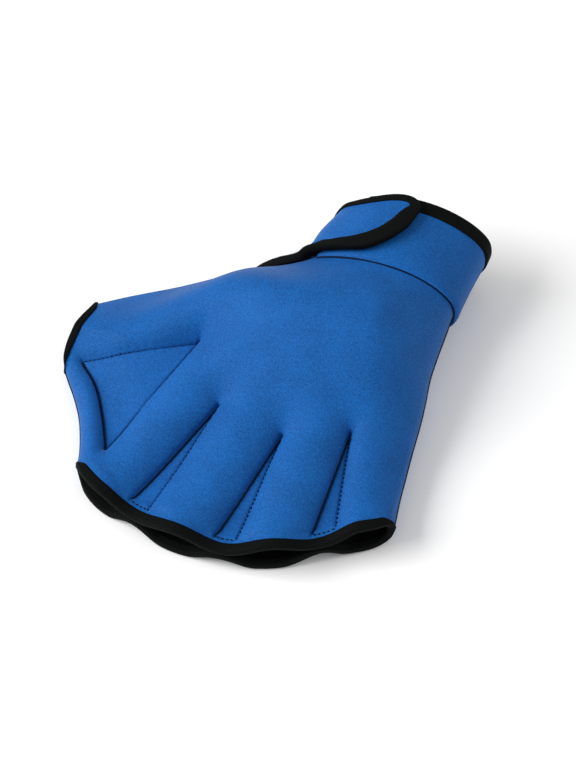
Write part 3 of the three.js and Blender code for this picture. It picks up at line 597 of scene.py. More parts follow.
def add_mesh(name: str, points: np.ndarray, faces: list | np.ndarray, materials: list[bpy.types.Material],
             face_slots: np.ndarray | None = None) -> bpy.types.Object:
    """Makes an object from points in millimetres.

    Args:
        name: Name of the object.
        points: Points in millimetres.
        faces: Index lists of the faces.
        materials: Materials of its slots.
        face_slots: Material slot of each face, or None for the first.

    Returns:
        The new object, smooth shaded.
    """
    mesh = bpy.data.meshes.new(name)
    face_lists = faces.tolist() if isinstance(faces, np.ndarray) else faces
    mesh.from_pydata((np.asarray(points) * MM).tolist(), [], face_lists)
    for material in materials:
        mesh.materials.append(material)
    mesh.polygons.foreach_set("use_smooth", [True] * len(mesh.polygons))
    if face_slots is not None:
        mesh.polygons.foreach_set("material_index", np.asarray(face_slots, np.int32))
    mesh.update()
    piece = bpy.data.objects.new(name, mesh)
    bpy.context.scene.collection.objects.link(piece)
    return piece


def grid_faces(rows: int, columns: int, base: int = 0, flip: bool = False) -> np.ndarray:
    """Quads of a grid of points that are numbered row by row."""
    i, j = np.meshgrid(np.arange(rows - 1), np.arange(columns - 1), indexing="ij")
    a = (i * columns + j).ravel() + base
    quads = np.stack([a, a + 1, a + columns + 1, a + columns], axis=1)
    return quads[:, ::-1] if flip else quads


def border_of(rows: int, columns: int) -> np.ndarray:
    """Numbers of the points round a grid, in order."""
    index = np.arange(rows * columns).reshape(rows, columns)
    return np.concatenate([index[0, :-1], index[:-1, -1], index[-1, :0:-1], index[:0:-1, 0]])


def signed_volume(points: np.ndarray, quads: np.ndarray) -> float:
    """Six times the volume inside closed quads, below zero where they face inwards."""
    a, b, c, d = points[quads].transpose(1, 0, 2)
    return float((np.einsum("ij,ij->i", a, np.cross(b, c)) + np.einsum("ij,ij->i", a, np.cross(c, d))).sum())


def sheet_solid(outer: np.ndarray, inner: np.ndarray) -> tuple[np.ndarray, np.ndarray]:
    """Closed sheet between two grids.

    Args:
        outer: Grid of the outer face.
        inner: Grid of the inner face.

    Returns:
        Points and quads, the outer face's quads first.
    """
    rows, columns = outer.shape[:2]
    size = rows * columns
    border = border_of(rows, columns)
    after = np.roll(border, -1)
    rim = np.stack([border, border + size, after + size, after], axis=1)
    faces = np.vstack([grid_faces(rows, columns), rim, grid_faces(rows, columns, size, True)])
    points = np.vstack([outer.reshape(-1, 3), inner.reshape(-1, 3)])
    return points, faces if signed_volume(points, faces) > 0 else faces[:, ::-1]


def lined_slots(rows: int, columns: int) -> np.ndarray:
    """Material slots of a closed sheet: 0 on its outer face, 1 on its rim and inner face."""
    outer = (rows - 1) * (columns - 1)
    rim = 2 * (rows - 1) + 2 * (columns - 1)
    return np.repeat([0, 1], [outer, rim + outer])


def tube_solid(sections: np.ndarray, is_ring: bool) -> tuple[np.ndarray, list]:
    """Closed tube through a row of closed sections.

    Args:
        sections: Points, stations by section points by 3.
        is_ring: Whether the last station joins the first.

    Returns:
        Points and faces.
    """
    count, sides = sections.shape[:2]
    stations = np.arange(count if is_ring else count - 1)
    i, k = np.meshgrid(stations, np.arange(sides), indexing="ij")
    nxt = (i + 1) % count
    side = (k + 1) % sides
    faces = np.stack([i * sides + k, i * sides + side, nxt * sides + side, nxt * sides + k], axis=2).reshape(-1, 4)
    points = sections.reshape(-1, 3)
    volume = signed_volume(points - points.mean(axis=0), faces)
    out = [tuple(face) for face in (faces if volume > 0 else faces[:, ::-1]).tolist()]
    if not is_ring:
        first = list(range(sides))
        last = [(count - 1) * sides + n for n in range(sides)]
        out.append(tuple(first if volume < 0 else first[::-1]))
        out.append(tuple(last[::-1] if volume < 0 else last))
    return points, out


def round_line(line: np.ndarray, up: np.ndarray, radius: float, sides: int = 8) -> tuple[np.ndarray, list]:
    """Round thread along a line.

    Args:
        line: Points of its middle.
        up: Direction across the thread at each point.
        radius: Radius of the thread.
        sides: Sides of its section.

    Returns:
        Points and faces.
    """
    along = unit(np.gradient(line, axis=0))
    first = square_to(up, along)
    second = np.cross(along, first)
    turn = np.arange(sides) / sides * 2 * pi
    ring = first[:, None] * np.cos(turn)[None, :, None] + second[:, None] * np.sin(turn)[None, :, None]
    return tube_solid(line[:, None] + ring * radius, False)


# Finishes


class Nodes:
    """Short way to build one node material."""

    def __init__(self, name: str) -> None:
        """Starts an empty material with its shader and output."""
        self.material = bpy.data.materials.new(name)
        self.material.use_nodes = True
        self.tree = self.material.node_tree
        self.tree.nodes.clear()
        output = self.tree.nodes.new("ShaderNodeOutputMaterial")
        self.shader = self.tree.nodes.new("ShaderNodeBsdfPrincipled")
        self.tree.links.new(self.shader.outputs["BSDF"], output.inputs["Surface"])
        coordinates = self.tree.nodes.new("ShaderNodeTexCoord")
        self.where = coordinates.outputs["Object"]

    def add(self, kind: str, **values: object) -> bpy.types.Node:
        """Adds a node, and sets its properties and unlinked inputs by name."""
        node = self.tree.nodes.new(kind)
        for key, value in values.items():
            if hasattr(node, key):
                setattr(node, key, value)
            else:
                node.inputs[key.replace("_", " ")].default_value = value
        return node

    def link(self, source: bpy.types.NodeSocket, target: bpy.types.NodeSocket) -> None:
        """Joins two sockets."""
        self.tree.links.new(source, target)

    def noise(self, scale: float, detail: float, roughness: float = 0.5) -> bpy.types.NodeSocket:
        """Noise over the object's own coordinates, scale in cycles a metre."""
        node = self.add("ShaderNodeTexNoise", Scale=scale, Detail=detail, Roughness=roughness)
        self.link(self.where, node.inputs["Vector"])
        return node.outputs["Fac"]

    def ramp(self, source: bpy.types.NodeSocket, stops: list[tuple[float, Colour]]) -> bpy.types.NodeSocket:
        """Colour ramp over a value."""
        node = self.add("ShaderNodeValToRGB")
        elements = node.color_ramp.elements
        while len(elements) < len(stops):
            elements.new(0.5)
        for element, (position, colour) in zip(elements, stops):
            element.position = position
            element.color = (*colour, 1.0)
        self.link(source, node.inputs["Fac"])
        return node.outputs["Color"]

    def math(self, operation: str, a: Value, b: Value) -> bpy.types.NodeSocket:
        """One sum of two values."""
        node = self.add("ShaderNodeMath", operation=operation)
        for socket, value in zip(node.inputs, (a, b)):
            if isinstance(value, (int, float)):
                socket.default_value = value
            else:
                self.link(value, socket)
        return node.outputs["Value"]

    def gloss(self, roughness: float, specular: float) -> None:
        """Sets how rough and how shiny the surface is."""
        self.shader.inputs["Roughness"].default_value = roughness
        self.shader.inputs["Specular IOR Level"].default_value = specular

    def paint(self, source: bpy.types.NodeSocket, low: tuple[float, Colour], high: tuple[float, Colour]) -> None:
        """Colours the surface by a value, between two stops."""
        self.link(self.ramp(source, [low, high]), self.shader.inputs["Base Color"])

    def cells(self, size: float, randomness: float) -> bpy.types.NodeSocket:
        """Distance to the middle of the nearest cell, size of the cells in metres."""
        node = self.add("ShaderNodeTexVoronoi", Scale=1 / size, Randomness=randomness)
        self.link(self.where, node.inputs["Vector"])
        return node.outputs["Distance"]

    def blend(self, a: Value, share_a: float, b: Value, share_b: float) -> bpy.types.NodeSocket:
        """Sum of two values, each times its share."""
        return self.math("ADD", self.math("MULTIPLY", a, share_a), self.math("MULTIPLY", b, share_b))

    def bump(self, height: bpy.types.NodeSocket, distance: float, strength: float) -> None:
        """Relief from a height, distance in metres."""
        node = self.add("ShaderNodeBump", Strength=strength, Distance=distance)
        self.link(height, node.inputs["Height"])
        self.link(node.outputs["Normal"], self.shader.inputs["Normal"])


def srgb(red: int, green: int, blue: int) -> Colour:
    """Linear colour of three screen values from 0 to 255."""
    def channel(value: int) -> float:
        """Linear value of one channel."""
        share = value / 255
        return share / 12.92 if share <= 0.04045 else ((share + 0.055) / 1.055) ** 2.4
    return channel(red), channel(green), channel(blue)


@dataclass(frozen=True)
class KnitFinish:
    """Knitted facing of the foam cloth: heathered yarns in fine rows of loops."""

    name: str
    dark: Colour
    light: Colour
    specular: float = 0.17
    sheen: float = 0.07
    loop: float = 0.0009
    roughness: float = 0.68
    sheen_tint: Colour = (0.75, 0.85, 1.0)
    relief: float = 0.00022

    def make(self) -> bpy.types.Material:
        """Builds the material."""
        n = Nodes(self.name)
        heather = n.noise(1400, 2.0, 0.6)
        patches = n.noise(60, 2.0, 0.5)
        n.paint(n.blend(heather, 0.75, patches, 0.25), (0.36, self.dark), (0.64, self.light))
        n.gloss(self.roughness, self.specular)
        n.shader.inputs["Sheen Weight"].default_value = self.sheen
        n.shader.inputs["Sheen Roughness"].default_value = 0.5
        n.shader.inputs["Sheen Tint"].default_value = (*self.sheen_tint, 1.0)
        loops = n.cells(self.loop, 0.55)
        fuzz = n.noise(2600, 3.0, 0.6)
        n.bump(n.blend(loops, -0.8, fuzz, 0.7), self.relief, 0.55)
        return n.material


@dataclass(frozen=True)
class TapeFinish:
    """Black woven tape with fine ribs."""

    name: str
    dark: Colour
    light: Colour
    rib: float = 0.0007
    relief: float = 0.0002

    def make(self) -> bpy.types.Material:
        """Builds the material."""
        n = Nodes(self.name)
        grain = n.noise(1800, 2.0, 0.6)
        n.paint(grain, (0.3, self.dark), (0.7, self.light))
        n.gloss(0.75, 0.05)
        n.bump(n.blend(n.cells(self.rib, 0.35), -0.7, grain, 0.4), self.relief, 0.6)
        return n.material


@dataclass(frozen=True)
class ThreadFinish:
    """Twisted sewing thread."""

    name: str
    colour: Colour
    dark_share: float = 0.6
    relief: float = 0.00008

    def make(self) -> bpy.types.Material:
        """Builds the material."""
        n = Nodes(self.name)
        fibre = n.noise(4000, 1.0, 0.5)
        darker = tuple(self.dark_share * c for c in self.colour)
        n.paint(fibre, (0.3, darker), (0.7, self.colour))
        n.gloss(0.7, 0.1)
        n.bump(fibre, self.relief, 0.5)
        return n.material


@dataclass(frozen=True)
class FloorFinish:
    """Plain pale studio floor."""

    name: str = "pale_floor"
    tone: float = 0.93
    unevenness: float = 0.005

    def make(self) -> bpy.types.Material:
        """Builds the material."""
        n = Nodes(self.name)
        low = (self.tone * (1 - self.unevenness),) * 3
        high = (self.tone,) * 3
        n.paint(n.noise(4, 2.0, 0.5), (0.3, low), (0.7, high))
        n.gloss(0.9, 0.1)
        return n.material


@dataclass
class Finishes:
    """All materials of the glove."""

    knit: bpy.types.Material = field(init=False)
    lining: bpy.types.Material = field(init=False)
    tape: bpy.types.Material = field(init=False)
    pad: bpy.types.Material = field(init=False)
    navy_thread_and_shade_cord: bpy.types.Material = field(init=False)
    black_seam_shade_cord: bpy.types.Material = field(init=False)

    def __post_init__(self) -> None:
        """Makes each material once."""
        self.knit = KnitFinish("blue_knit", srgb(0, 69, 132), srgb(9, 93, 169)).make()
        self.lining = KnitFinish("black_lining", srgb(5, 6, 6), srgb(12, 14, 13), 0.04, 0.0, 0.0007).make()
        self.tape = TapeFinish("black_tape", srgb(6, 7, 7), srgb(14, 16, 15)).make()
        self.pad = TapeFinish("black_pad", srgb(7, 7, 8), srgb(14, 14, 15), 0.0012).make()
        # Navy: real stitches, and also the painted-shade cords in the fold creases and along the cuff seam
        self.navy_thread_and_shade_cord = ThreadFinish("navy_thread_and_painted_shade", srgb(8, 30, 62)).make()
        # Black cord along the side seams: painted shade where the cloth turns under
        self.black_seam_shade_cord = ThreadFinish("black_seam_shade_cord", srgb(10, 11, 12)).make()


def dress(piece: bpy.types.Object, slot: str, *nodes: str) -> bpy.types.Object:
    """Puts a piece on the glove's body and hides the CAD nodes that it stands for."""
    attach(piece, "root")
    if nodes:
        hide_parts(*nodes)
    triangles = sum(len(p.vertices) - 2 for p in piece.data.polygons)
    log.info("%s: %d triangles", piece.name, triangles)
    return piece


# Panels


@dataclass
class Panels:
    """Back and palm of the glove with their black lining."""

    form: FoamForm
    finishes: Finishes
    skin_share: float = 0.75
    crease_depth: float = 0.8
    crease_width: float = 0.65
    stitch_depth_share: float = 0.6
    web_fill: float = 0.9
    web_fill_width: float = 4.5
    pucker: float = 0.07
    pucker_pitch: float = 4.0
    pucker_width: float = 2.2
    crease_limit: float = 1.15
    seam_shade_cord_radius: float = 0.45
    wander: float = 0.2
    wander_length: float = 26.0
    wander_seed: int = 11
    edge_fade: Span = (0.0, 3.0)
    floor_fade: Span = (0.5, 0.0)
    at_seam: float = 0.25
    lining_share: float = 0.8
    lining_step: int = 2

    def __post_init__(self) -> None:
        """Lays out the grid and works out both surfaces."""
        self.grid = PanelGrid(self.form.plan)
        self.points, self.shares = self.grid.build()
        rows, columns = self.points.shape[:2]
        flat = self.points.reshape(-1, 2)
        field_values = self.form.heights(flat)
        self.heights = {key: value.reshape(rows, columns) for key, value in field_values.items()}
        self.detail = self.stitch_relief(flat).reshape(rows, columns)
        self.outer: dict[Side, np.ndarray] = {}
        self.inner: dict[Side, np.ndarray] = {}
        for side in Side:
            self.surface(side)

    def sewn_lines(self) -> list[tuple[Line, np.ndarray]]:
        """Sewn lines across the panels, each from its upper end."""
        lines = self.form.plan.lines
        found = [(Line.STITCH, lines["web_thumb"])]
        found += [(Line.FOLD, lines[name]) for name in ("web_outer", "web_finger")]
        for dart in self.form.plan.darts:
            found.append((Line.FOLD, np.array([dart["tip"], dart["thumb"]])))
            found.append((Line.STITCH, np.array([dart["tip"], dart["little"]])))
            found.append((Line.STITCH, np.array([dart["thumb"], dart["little"]])))
        return found

    def depth_of(self, kind: Line) -> float:
        """Depth of the crease along a line."""
        return self.crease_depth * (1.0 if kind is Line.FOLD else self.stitch_depth_share)

    def stitch_relief(self, points: np.ndarray) -> np.ndarray:
        """Depth of the creases and puckers that the stitching pulls into the cloth."""
        relief = np.zeros(len(points))
        web_top = self.form.plan.lines["web_thumb"]
        above, _ = line_distance(points, web_top)
        in_web = is_inside(points, self.form.flat_outlines()[-1])
        fill_width = np.where(in_web, self.web_fill_width, self.crease_width)
        relief += self.web_fill * np.exp(-(above / fill_width) ** 2)
        for kind, line in self.sewn_lines():
            away, along = line_distance(points, line)
            relief -= self.depth_of(kind) * np.exp(-(away / self.crease_width) ** 2)
            wave = np.sin(2 * pi * along / self.pucker_pitch)
            relief += self.pucker * wave * np.exp(-(away / self.pucker_width) ** 2)
        return np.maximum(relief, -self.crease_depth * self.crease_limit)

    def turn_out(self, normal: np.ndarray, base: np.ndarray) -> None:
        """Points the normals of both edge columns sideways, wherever they lie on a side seam.

        Args:
            normal: Normals of the grid, changed in place.
            base: Points of the grid.
        """
        for column, inside in ((0, 3), (-1, -4)):
            along = np.gradient(base[:, column, :2], axis=0)
            out = unit(np.stack([along[:, 1], -along[:, 0]], axis=1))
            away = base[:, column, :2] - base[:, inside, :2]
            out *= np.sign(np.einsum("ij,ij->i", out, away))[:, None]
            on_seam = self.heights["side"][:, column] < self.at_seam
            normal[on_seam, column] = np.hstack([out, np.zeros((len(out), 1))])[on_seam]

    def surface(self, side: Side) -> None:
        """Works out the outer and inner faces of one panel."""
        plan = self.form.plan
        sign = side.value
        gap = sign * plan.panel_gap
        z = self.heights[side.key] + gap
        base = plan.place(self.points.reshape(-1, 2), z.ravel()).reshape(*z.shape, 3)
        normal = grid_normals(base, sign)
        self.turn_out(normal, base)
        fade = ease(*self.edge_fade, self.heights["side"])
        wander = self.wander * smooth_noise(base, self.wander_length, self.wander_seed + sign) * fade
        on_floor = np.zeros_like(z) if side is Side.BACK else ease(*self.floor_fade, z)
        shift = (self.detail + wander) * fade * (1 - on_floor)
        inner = base - normal * plan.wall
        limit = np.maximum if side is Side.BACK else np.minimum
        inner[..., 2] = limit(inner[..., 2], self.heights["seam"] + gap)
        self.outer[side] = base + normal * shift[..., None]
        self.inner[side] = inner

    def build_side_seam_shade(self) -> None:
        """Makes the thin black cord between the two panels: painted shade where the cloth turns under at the side
        seams.
        """
        form = self.form
        for name, line in zip(("thumb", "web", "little"), form.side_seams()):
            flat = resample(line, 1.0)
            if name != "web":
                flat = flat[self.grid.row_share(flat) > 0.0]
            points = form.plan.place(flat, form.seam_height(flat, np.zeros(len(flat))))
            up = np.tile([0.0, 0.0, 1.0], (len(points), 1))
            # A black cord of painted shade along each side seam
            seam = add_mesh(f"{name}_seam", *round_line(points, up, self.seam_shade_cord_radius), [self.finishes.black_seam_shade_cord])
            dress(seam, "black_binding")

    def build(self) -> None:
        """Makes the two panels and their linings."""
        self.build_side_seam_shade()
        for side in Side:
            outer, inner = self.outer[side], self.inner[side]
            skin = mix(outer, inner, self.skin_share)
            rows, columns = outer.shape[:2]
            border = border_of(rows, columns)
            flip = side is Side.PALM
            faces = grid_faces(rows, columns, 0, not flip)
            rim_base = rows * columns + np.arange(len(border))
            rim = np.stack([border, rim_base, np.roll(rim_base, -1), np.roll(border, -1)], axis=1)
            points = np.vstack([outer.reshape(-1, 3), skin.reshape(-1, 3)[border]])
            face_list = np.vstack([faces, rim if flip else rim[:, ::-1]])
            is_rim = np.arange(len(face_list)) >= len(faces)
            finishes = [self.finishes.knit, self.finishes.lining]
            panel = add_mesh(f"{side.key}_cloth", points, face_list, finishes, is_rim)
            dress(panel, "blue_knit", f"{side.key}_panel")
            kept = np.ix_(*(sorted({*range(0, size, self.lining_step), size - 1}) for size in (rows, columns)))
            sheet = sheet_solid(mix(outer, inner, self.lining_share)[kept], inner[kept])
            lining = add_mesh(f"{side.key}_lining", *sheet, [self.finishes.lining])
            dress(lining, "black_binding", f"{side.key}_panel")


# Tapes

# Share of the thickness at the last two steps of a tape, where it thins out, and how far its fold stands out
TAPE_THINNING = (0.85, 0.25)
TAPE_BULGE = 1.15


def tape_section(legs_out: np.ndarray, normals_out: np.ndarray, legs_in: np.ndarray, normals_in: np.ndarray,
                 out: np.ndarray, thick: float, lift: float) -> np.ndarray:
    """Closed sections of a tape folded over an edge.

    Args:
        legs_out: Points on the outer face, stations by steps back from the edge by 3.
        normals_out: Their outward normals.
        legs_in: Points on the inner face.
        normals_in: Their normals, away from the cloth.
        out: Direction out of the edge at each station.
        thick: Thickness of the tape.
        lift: Gap between the cloth and the tape.

    Returns:
        Sections, stations by section points by 3.
    """
    crown = np.ones(legs_out.shape[1])
    crown[-2:] = TAPE_THINNING
    rise = (lift + thick * crown)[None, :, None]
    middle = (legs_out[:, 0] + legs_in[:, 0]) / 2
    across = legs_out[:, 0] - legs_in[:, 0]
    half = np.linalg.norm(across, axis=1, keepdims=True) / 2
    up = unit(across)
    arc, arc_under = [], []
    for turn in np.linspace(0, pi, 9)[1:-1]:
        arc.append(middle + up * (half + lift + thick) * cos(turn) + out * (lift + thick) * TAPE_BULGE * sin(turn))
        arc_under.append(middle + up * (half + lift) * cos(turn) + out * lift * sin(turn))
    face = [*(legs_out + normals_out * rise).transpose(1, 0, 2)[::-1], *arc,
            *(legs_in + normals_in * rise).transpose(1, 0, 2)]
    back = [*(legs_in + normals_in * lift).transpose(1, 0, 2)[::-1], *arc_under[::-1],
            *(legs_out + normals_out * lift).transpose(1, 0, 2)]
    return np.stack([*face, *back], axis=1)


@dataclass
class Tapes:
    """Black tapes folded over the finger mouth and the thumb mouth."""

    panels: Panels
    finishes: Finishes
    width: float = 4.0
    thumb_width: float = 3.0
    corner_width: float = 1.0
    seam_clear: float = 0.6
    thick: float = 0.75
    lift: float = 0.12
    steps: int = 7
    turn_length: float = 12.0
    corner_length: float = 8.0
    slope_step: float = 0.25
    slope_share: float = 0.45
    slope_least: float = 0.02

    def leg(self, side: Side, edge: np.ndarray, direction: np.ndarray,
            widths: np.ndarray) -> tuple[np.ndarray, ...]:
        """Points of the cloth from an edge back, on both faces of one panel.

        Args:
            side: Panel.
            edge: Plan points of the edge.
            direction: Unit plan directions back from the edge.
            widths: Width of the tape at each point.

        Returns:
            Outer points, their normals, inner points and their normals.
        """
        form = self.panels.form
        shares = np.linspace(0, 1, self.steps)
        plan_points = edge[:, None, :] + direction[:, None, :] * (widths[:, None, None] * shares[None, :, None])
        flat = plan_points.reshape(-1, 2)
        here = form.heights(flat)
        away = np.minimum(self.slope_step, self.slope_share * np.maximum(here["side"], self.slope_least))[:, None]
        slopes = []
        for axis in ((1.0, 0.0), (0.0, 1.0)):
            shift = np.array([axis]) * away
            rise = form.heights(flat + shift)[side.key] - form.heights(flat - shift)[side.key]
            slopes.append(rise / (2 * away[:, 0]))
        normal = unit(np.stack([-slopes[0], -slopes[1], np.ones(len(flat))], axis=1)) * side.value
        gap = side.value * form.plan.panel_gap
        outer = form.plan.place(flat, here[side.key] + gap)
        inner = outer - normal * form.plan.wall
        limit = np.maximum if side is Side.BACK else np.minimum
        inner[:, 2] = limit(inner[:, 2], here["seam"] + gap)
        shape = (len(edge), self.steps, 3)
        return outer.reshape(shape), normal.reshape(shape), inner.reshape(shape), -normal.reshape(shape)

    def seam_leg(self, end: np.ndarray, back: np.ndarray, near: np.ndarray, width: float) -> tuple[np.ndarray, ...]:
        """Legs of the tape where it folds over the end of a side seam.

        Args:
            end: Plan point of the seam's end.
            back: Unit direction back along the seam.
            near: Plan point of the mouth next to the seam.
            width: Width of the tape.

        Returns:
            Outer points, their normals, inner points and their normals, each as one station.
        """
        form = self.panels.form
        flat = end + back * (width * np.linspace(0, 1, self.steps))[:, None]
        out = np.array([back[1], -back[0], 0.0])
        out *= np.sign(out[:2] @ (end - near))
        outer = form.plan.place(flat, form.seam_height(flat, np.zeros(len(flat))))
        normals = np.tile(out, (self.steps, 1))
        return tuple(part[None] for part in (outer, normals, outer - out * form.plan.wall, -normals))

    def ring(self, name: str, node: str, edge: np.ndarray, first: np.ndarray, last: np.ndarray,
             radial: bool, corner: float, width: float) -> None:
        """Makes the tape round one mouth.

        Args:
            name: Name of the piece.
            node: CAD node that it stands for.
            edge: Plan points of the mouth from one seam to the other.
            first: Direction back along the first seam.
            last: Direction back along the last seam.
            radial: Whether the tape's width points to the fan point between its ends.
            corner: Width of the tape at both seams.
            width: Width of the tape between them.
        """
        lengths = lengths_along(edge)
        whole = lengths[-1]
        if radial:
            w_first = (1 - ease(0, self.turn_length, lengths))[:, None]
            w_last = (1 - ease(0, self.turn_length, whole - lengths))[:, None]
            direction = mix(mix(unit(-edge), first, w_first), last, w_last)
        else:
            direction = mix(first[None], last[None], (lengths / whole)[:, None])
        direction = unit(direction)
        from_seam = np.minimum(lengths, whole - lengths)
        widths = mix(corner, width, ease(0, self.corner_length, from_seam))
        keep = from_seam > self.seam_clear
        mouth, back, width_kept = edge[keep], direction[keep], widths[keep]
        parts = []
        for side, end in ((Side.BACK, 0), (Side.PALM, -1)):
            parts.append(self.seam_leg(edge[end], direction[end], mouth[end], corner))
            turned = slice(None) if side is Side.BACK else slice(None, None, -1)
            parts.append(tuple(part[turned] for part in self.leg(side, mouth, back, width_kept)))
        lo, no, li, ni = (np.concatenate(part) for part in zip(*parts))
        middle = (lo + li) / 2
        out = unit(middle[:, 0] - middle[:, 1])
        sections = tape_section(lo, no, li, ni, out, self.thick, self.lift)
        piece = add_mesh(name, *tube_solid(sections, True), [self.finishes.tape])
        dress(piece, "black_binding", node)

    def build(self) -> None:
        """Makes the two mouth tapes."""
        lines = self.panels.form.plan.lines
        mouth = self.panels.points[-1]
        back_along = [unit(lines[name][-3] - lines[name][-1]) for name in ("web_edge", "little_side")]
        self.ring("finger_tape", "finger_binding", mouth, *back_along, True, self.corner_width, self.width)
        thumb = resample(lines["thumb_mouth"], 0.5)
        top = lines["thumb_side"][-3] - lines["thumb_side"][-1]
        low = lines["web_edge"][2] - lines["web_edge"][0]
        ends = unit(top), unit(low)
        self.ring("thumb_tape", "thumb_binding", thumb, *ends, False, self.corner_width, self.thumb_width)


# Wrist


def raised(point: np.ndarray, normal: np.ndarray, lift: np.ndarray | float, shape: tuple[int, int]) -> np.ndarray:
    """Grid of points at a height over given ones, along their normals."""
    return (point + normal * np.reshape(lift, (-1, 1))).reshape(*shape, 3)


@dataclass
class Wrist:
    """Cuff, its tape, and the closing strap with its own tape and pad."""

    form: FoamForm
    finishes: Finishes
    lap_gap: float = 0.5
    seam_gap: float = 0.3
    tape_stack: float = 1.0
    tape_width: float = 6.0
    slit_turn: float = 46.0
    strap_start: float = -8.0
    strap_tip: float = 93.0
    tape_thick: float = 0.8
    upper_share: float = 0.5
    tip_smoothing: float = 11.0
    lip_share: float = 0.2
    lip_length: float = 4.0
    seam_shade_cord_radius: float = 0.4
    pad_turns: Span = (54.0, 76.0)
    pad_shares: Span = (0.70, 0.48)
    end_gap: float = 0.8
    root_turns: Span = (12.0, 42.0)
    root_clear: float = 0.2
    droop_rise: Span = (12.0, 3.0)
    droop_turns: Span = (47.0, 38.0)
    past_seam: Span = (2.0, 9.0)
    lip_fade: Span = (2.0, 8.0)
    cuff_skin: float = 0.4
    skin_overlap: float = 0.02
    cuff_wander: float = 0.25
    cuff_wave: float = 22.0
    cuff_seed: int = 5
    strap_wander: float = 0.18
    strap_wave: float = 24.0
    strap_seed: int = 21
    strap_crowding: float = 0.8
    narrowing: int = 20
    tape_steps: int = 8
    cuff_grid: tuple[int, int] = (220, 60)
    strap_grid: tuple[int, int] = (130, 40)
    pad_grid: tuple[int, int] = (30, 24)
    line_steps: int = 240

    @property
    def cuff_end(self) -> float:
        """Turn where the cuff ends under the strap's root."""
        return 360 + self.strap_start - self.end_gap

    def edge_at(self, name: str, y: np.ndarray) -> np.ndarray:
        """Sideways place of a side seam at a plan height."""
        line = resample(self.form.plan.lines[name], 0.5)
        return np.interp(-y, -line[:, 1], line[:, 0])

    def across(self, turn: np.ndarray, y: np.ndarray) -> np.ndarray:
        """Sideways place of a turn of the wrist tube."""
        left, right = self.edge_at("thumb_side", y), self.edge_at("little_side", y)
        return mix(left, right, (1 - np.cos(np.radians(turn))) / 2)

    def seam_y(self, turn: np.ndarray) -> np.ndarray:
        """Plan height of the cuff's seam at a turn."""
        plan = self.form.plan
        return plan.cuff_seam_y(self.across(turn, np.full_like(turn, -plan.cuff_reach)))

    def surface(self, turn: np.ndarray, y: np.ndarray) -> np.ndarray:
        """Points of the wrist tube under the cuff."""
        flat = np.stack([self.across(turn, y), y], axis=1)
        heights = self.form.heights(flat)
        on_back = np.mod(turn, 360) <= 180
        return self.form.plan.place(flat, np.where(on_back, heights["back"], heights["palm"]))

    def frame_at(self, turn: np.ndarray, y: np.ndarray) -> tuple[np.ndarray, np.ndarray]:
        """Points of the wrist tube and their outward normals."""
        around = self.surface(turn + 1, y) - self.surface(turn - 1, y)
        along = self.surface(turn, y + 0.5) - self.surface(turn, y - 0.5)
        return self.surface(turn, y), unit(np.cross(around, along))

    def rim(self, turn: np.ndarray) -> np.ndarray:
        """Plan height of the wrist's open edge."""
        plan = self.form.plan
        return -(plan.rim_reach + plan.rim_slant * (1 + np.cos(np.radians(turn))) / 2) - self.tape_stack

    def strap_lift(self, turn: np.ndarray, y: np.ndarray) -> np.ndarray:
        """Height of the strap over the wrist tube: it passes over the cuff and lies down past its seam."""
        full = self.lap_gap + self.form.plan.wall + 2 * self.tape_stack + self.seam_gap
        low = self.tape_stack + self.lap_gap
        over = mix(low + self.root_clear, full, ease(*self.root_turns, turn))
        at = np.clip((turn - self.strap_start) / (self.strap_tip - self.strap_start), 0, 1)
        lower = self.strap_outline(at)[0]
        droop = ease(*self.droop_rise, y - lower) * ease(*self.droop_turns, turn)
        return mix(mix(over, low, ease(*self.past_seam, self.seam_y(turn) - y)), low, droop)

    def build_cuff(self) -> None:
        """Makes the cuff and its lining."""
        plan = self.form.plan
        turns = np.linspace(self.slit_turn, self.cuff_end, self.cuff_grid[0])
        turn, share = np.meshgrid(turns, np.linspace(0, 1, self.cuff_grid[1]))
        y = mix(self.seam_y(turn), self.rim(turn), share)
        point, normal = self.frame_at(turn.ravel(), y.ravel())
        from_seam = (share * plan.cuff_length).ravel()
        lip = np.sqrt(np.clip(1 - (1 - np.clip(from_seam / self.lip_length, 0, 1)) ** 2, 0, 1))
        wander = smooth_noise(point, self.cuff_wave, self.cuff_seed) * ease(*self.lip_fade, from_seam)
        top = self.lap_gap + plan.wall * mix(self.lip_share, 1.0, lip) + self.cuff_wander * wander
        skin = self.lap_gap + self.cuff_skin
        outer, middle, low, inner = (
            raised(point, normal, lift, turn.shape) for lift in (top, skin, skin - self.skin_overlap, self.lap_gap)
        )
        lined = [self.finishes.knit, self.finishes.lining]
        cuff = add_mesh("cuff_cloth", *sheet_solid(outer, middle), lined, lined_slots(*turn.shape))
        dress(cuff, "blue_knit", "wrist_cuff")
        lining = add_mesh("cuff_lining", *sheet_solid(low[::2, ::2], inner[::2, ::2]), [self.finishes.lining])
        dress(lining, "black_binding", "wrist_cuff")
        self.build_cuff_seam_shade()

    def build_cuff_seam_shade(self) -> None:
        """Makes the thin navy cord along the cuff's seam: painted shade under the step of the cuff's edge."""
        turns = np.linspace(self.slit_turn, self.cuff_end, self.line_steps)
        point, normal = self.frame_at(turns, self.seam_y(turns) - 0.1)
        line = point + normal * (self.lap_gap * 0.6)
        # A navy cord of painted shade just under the cuff's edge
        seam = add_mesh("cuff_seam", *round_line(line, normal, self.seam_shade_cord_radius), [self.finishes.navy_thread_and_shade_cord])
        dress(seam, "blue_knit")

